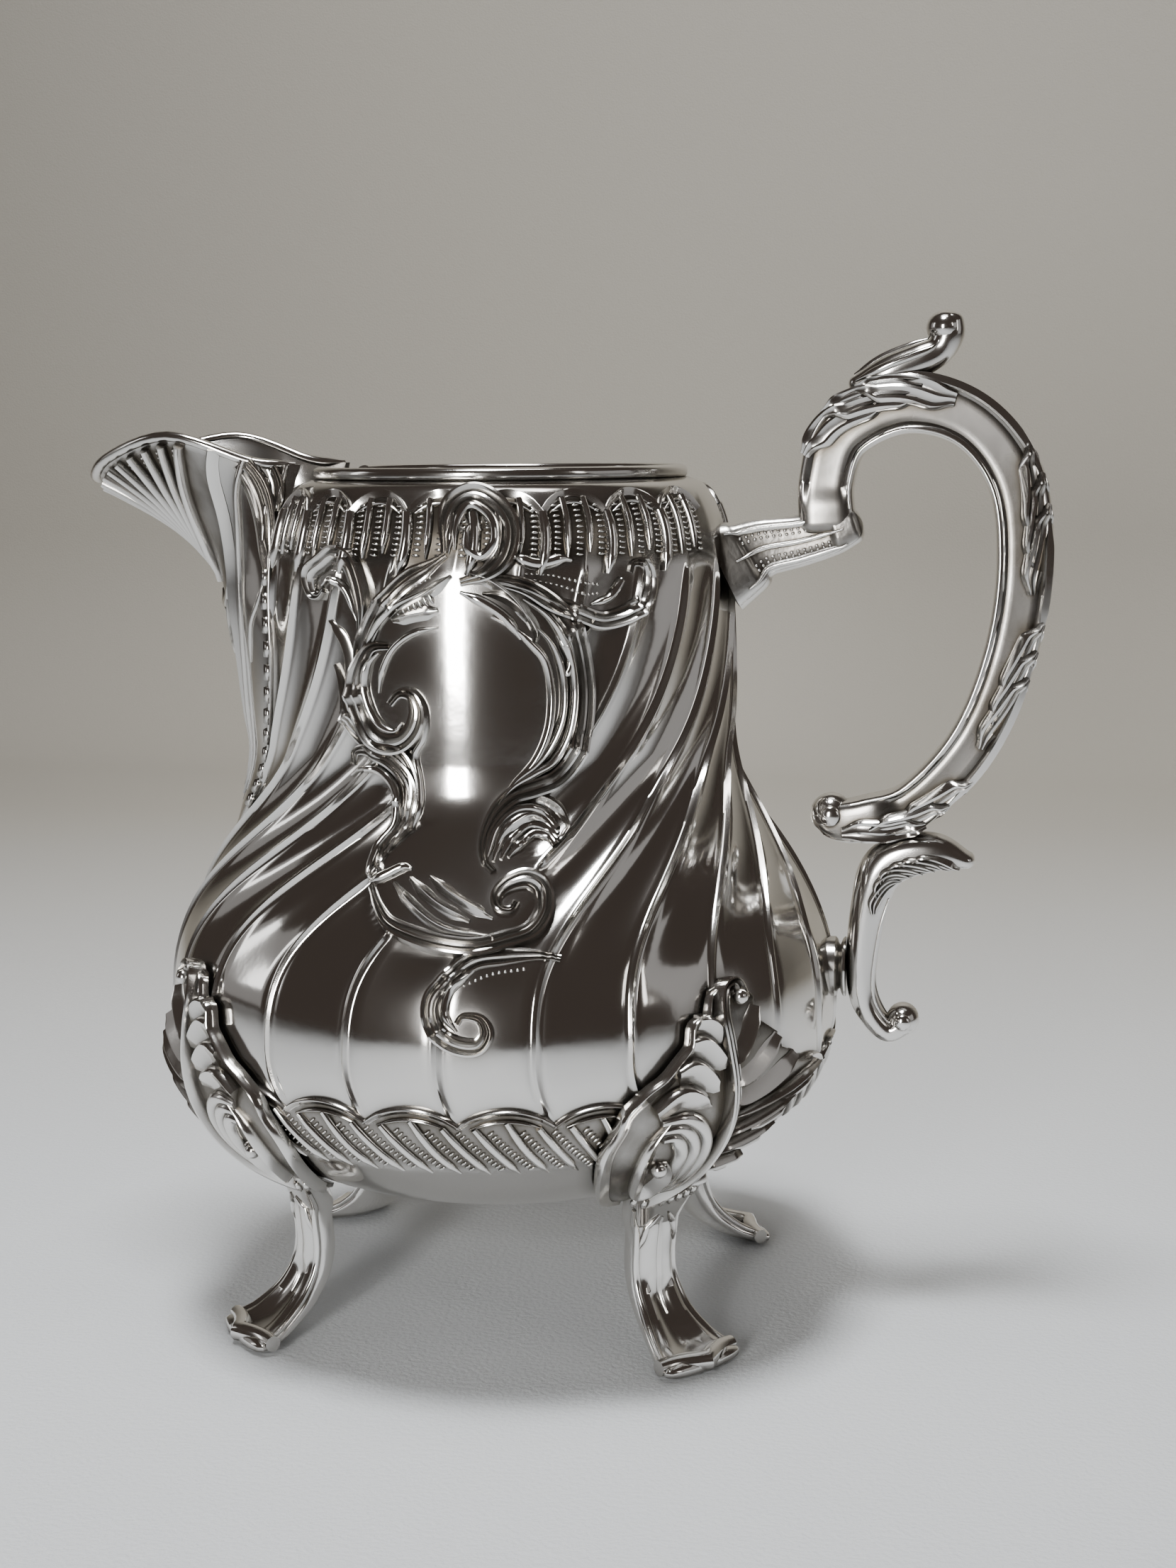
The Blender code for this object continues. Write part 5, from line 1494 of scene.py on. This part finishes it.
# Each light: its place, what it points at, its two sizes, its share of the key power, colour and spread
LIGHTS = {
    "key": ((-0.095, -0.54, 0.15), (0.01, 0, 0.09), (0.075, 0.26), 0.085, (1, 0.99, 0.97), 80),
    "soft_top": ((-0.06, -0.16, 1.0), (0, -0.05, 0.05), (0.24, 0.24), 0.15, (0.98, 0.99, 1), 50),
    "left_wall": ((-0.8, 0.0, 0.25), "jug", (0.45, 0.45), 0.022, (1, 1, 1), 180),
    "right_wall": ((0.8, -0.1, 0.25), "jug", (0.45, 0.45), 0.030, (1, 1, 1), 180),
    "left_fill": ((-0.9, -0.1, 0.35), "jug", (0.10, 0.40), 0.05, (1, 1, 1), 180),
    "right_fill": ((0.8, -0.45, 0.40), "jug", (0.10, 0.35), 0.06, (1, 0.97, 0.93), 180),
    "backdrop_wash": ((0, 0.12, 1.0), "backdrop", (0.4, 0.3), 0.26, (1, 0.98, 0.95), 90),
}
# The camera's place, and its turns in degrees in the order in which they are made
CAMERA_PLACE, CAMERA_TURNS = (0.05125, -0.2717, 0.1082), ((10.03, "Z"), (81.25, "X"), (-0.45, "Z"))
# The cloth in metres: half its width, the bend behind the table, the backdrop's lean and its top
CLOTH_HALF_WIDTH, BEND_RADIUS, BACKDROP_LEAN, BACKDROP_TOP = 0.9, 0.08, 0.12, 0.9


def area_light(name, place, target, size, power, tint, spread):
    data = bpy.data.lights.new(name, "AREA")
    data.shape, data.size, data.size_y = "RECTANGLE", size[0], size[1]
    data.energy, data.color, data.spread = power, tint, math.radians(spread)
    light = bpy.data.objects.new(name, data)
    light.location = place
    light.rotation_euler = (Vector(target) - Vector(place)).to_track_quat("-Z", "Y").to_euler()
    bpy.context.scene.collection.objects.link(light)


class JUG_OT_stage(bpy.types.Operator):
    """Lay the pale table and backdrop, set the soft light and place the camera."""
    bl_idname = "cream_jug.stage"
    bl_label = "Table, light and camera"

    def execute(self, context):
        scene, settings = context.scene, context.scene.jug_stage
        low, high = CAD_BOX
        cove = Soup()
        line = [(settings.table_front, 0.0), (settings.table_back, 0.0)]
        line += [(settings.table_back + BEND_RADIUS * math.sin(a), BEND_RADIUS - BEND_RADIUS * math.cos(a))
                 for a in np.linspace(0.05, math.pi / 2 - 0.06, 14)]
        line += [(settings.table_back + BACKDROP_LEAN, BACKDROP_TOP)]
        sheet = np.array([[((x - AXIS_X) / MM, y / MM, z / MM) for x in (-CLOTH_HALF_WIDTH, CLOTH_HALF_WIDTH)]
                          for y, z in line])
        add_sheet(cove, sheet, sheet + np.array([0, 4.0, -4.0]))
        cloth = make_mesh("table_and_backdrop", cove)
        cloth.data.materials.append(cloth_material(settings))
        world = bpy.data.worlds.new("dim_room")
        world.use_nodes = True
        background = world.node_tree.nodes["Background"].inputs
        background["Color"].default_value = (*settings.surroundings, 1)
        background["Strength"].default_value = 1.0
        scene.world = world
        aims = {"jug": (0, 0, (low.z + high.z) / 2), "backdrop": (0, settings.table_back + 0.1, 0.2)}
        for name, (place, target, size, share_of_key, tint, spread) in LIGHTS.items():
            area_light(name, place, aims.get(target, target), size, share_of_key * settings.key_power, tint,
                       spread)
        data = bpy.data.cameras.new("camera")
        data.lens, data.sensor_width, data.clip_start = settings.lens, 36, 0.01
        camera = bpy.data.objects.new("camera", data)
        view = Matrix.Translation(CAMERA_PLACE)
        for angle, axis in CAMERA_TURNS:
            view = view @ Matrix.Rotation(math.radians(angle), 4, axis)
        camera.matrix_world = view
        scene.collection.objects.link(camera)
        scene.camera = camera
        return {"FINISHED"}


# ---------------------------------------------------------------- panel and run

STEPS = (JUG_OT_body, JUG_OT_bands, JUG_OT_cartouches, JUG_OT_spout, JUG_OT_handle, JUG_OT_legs, JUG_OT_stage)


class JUG_PT_panel(bpy.types.Panel):
    """Sizes, finishes and the steps that build the jug."""
    bl_idname = "JUG_PT_panel"
    bl_label = "Silver Cream Jug"
    bl_space_type = "VIEW_3D"
    bl_region_type = "UI"
    bl_category = "Cream Jug"

    def draw(self, context):
        layout = self.layout
        for group in (context.scene.jug_sizes, context.scene.jug_finish, context.scene.jug_stage):
            box = layout.box()
            for name in group.bl_rna.properties.keys():
                if name not in ("rna_type", "name"):
                    box.prop(group, name)
        for step in STEPS:
            layout.operator(step.bl_idname)


CLASSES = (JugSizes, JugFinish, JugStage, *STEPS, JUG_PT_panel)


def register():
    for cls in CLASSES:
        bpy.utils.register_class(cls)
    bpy.types.Scene.jug_sizes = bpy.props.PointerProperty(type=JugSizes)
    bpy.types.Scene.jug_finish = bpy.props.PointerProperty(type=JugFinish)
    bpy.types.Scene.jug_stage = bpy.props.PointerProperty(type=JugStage)


def unregister():
    for name in ("jug_stage", "jug_finish", "jug_sizes"):
        delattr(bpy.types.Scene, name)
    for cls in reversed(CLASSES):
        bpy.utils.unregister_class(cls)


def main():
    register()
    for step in STEPS:
        group, name = step.bl_idname.split(".")
        if getattr(getattr(bpy.ops, group), name)() != {"FINISHED"}:
            raise RuntimeError(f"{step.bl_label} didn't finish")


if __name__ == "__main__":
    main()
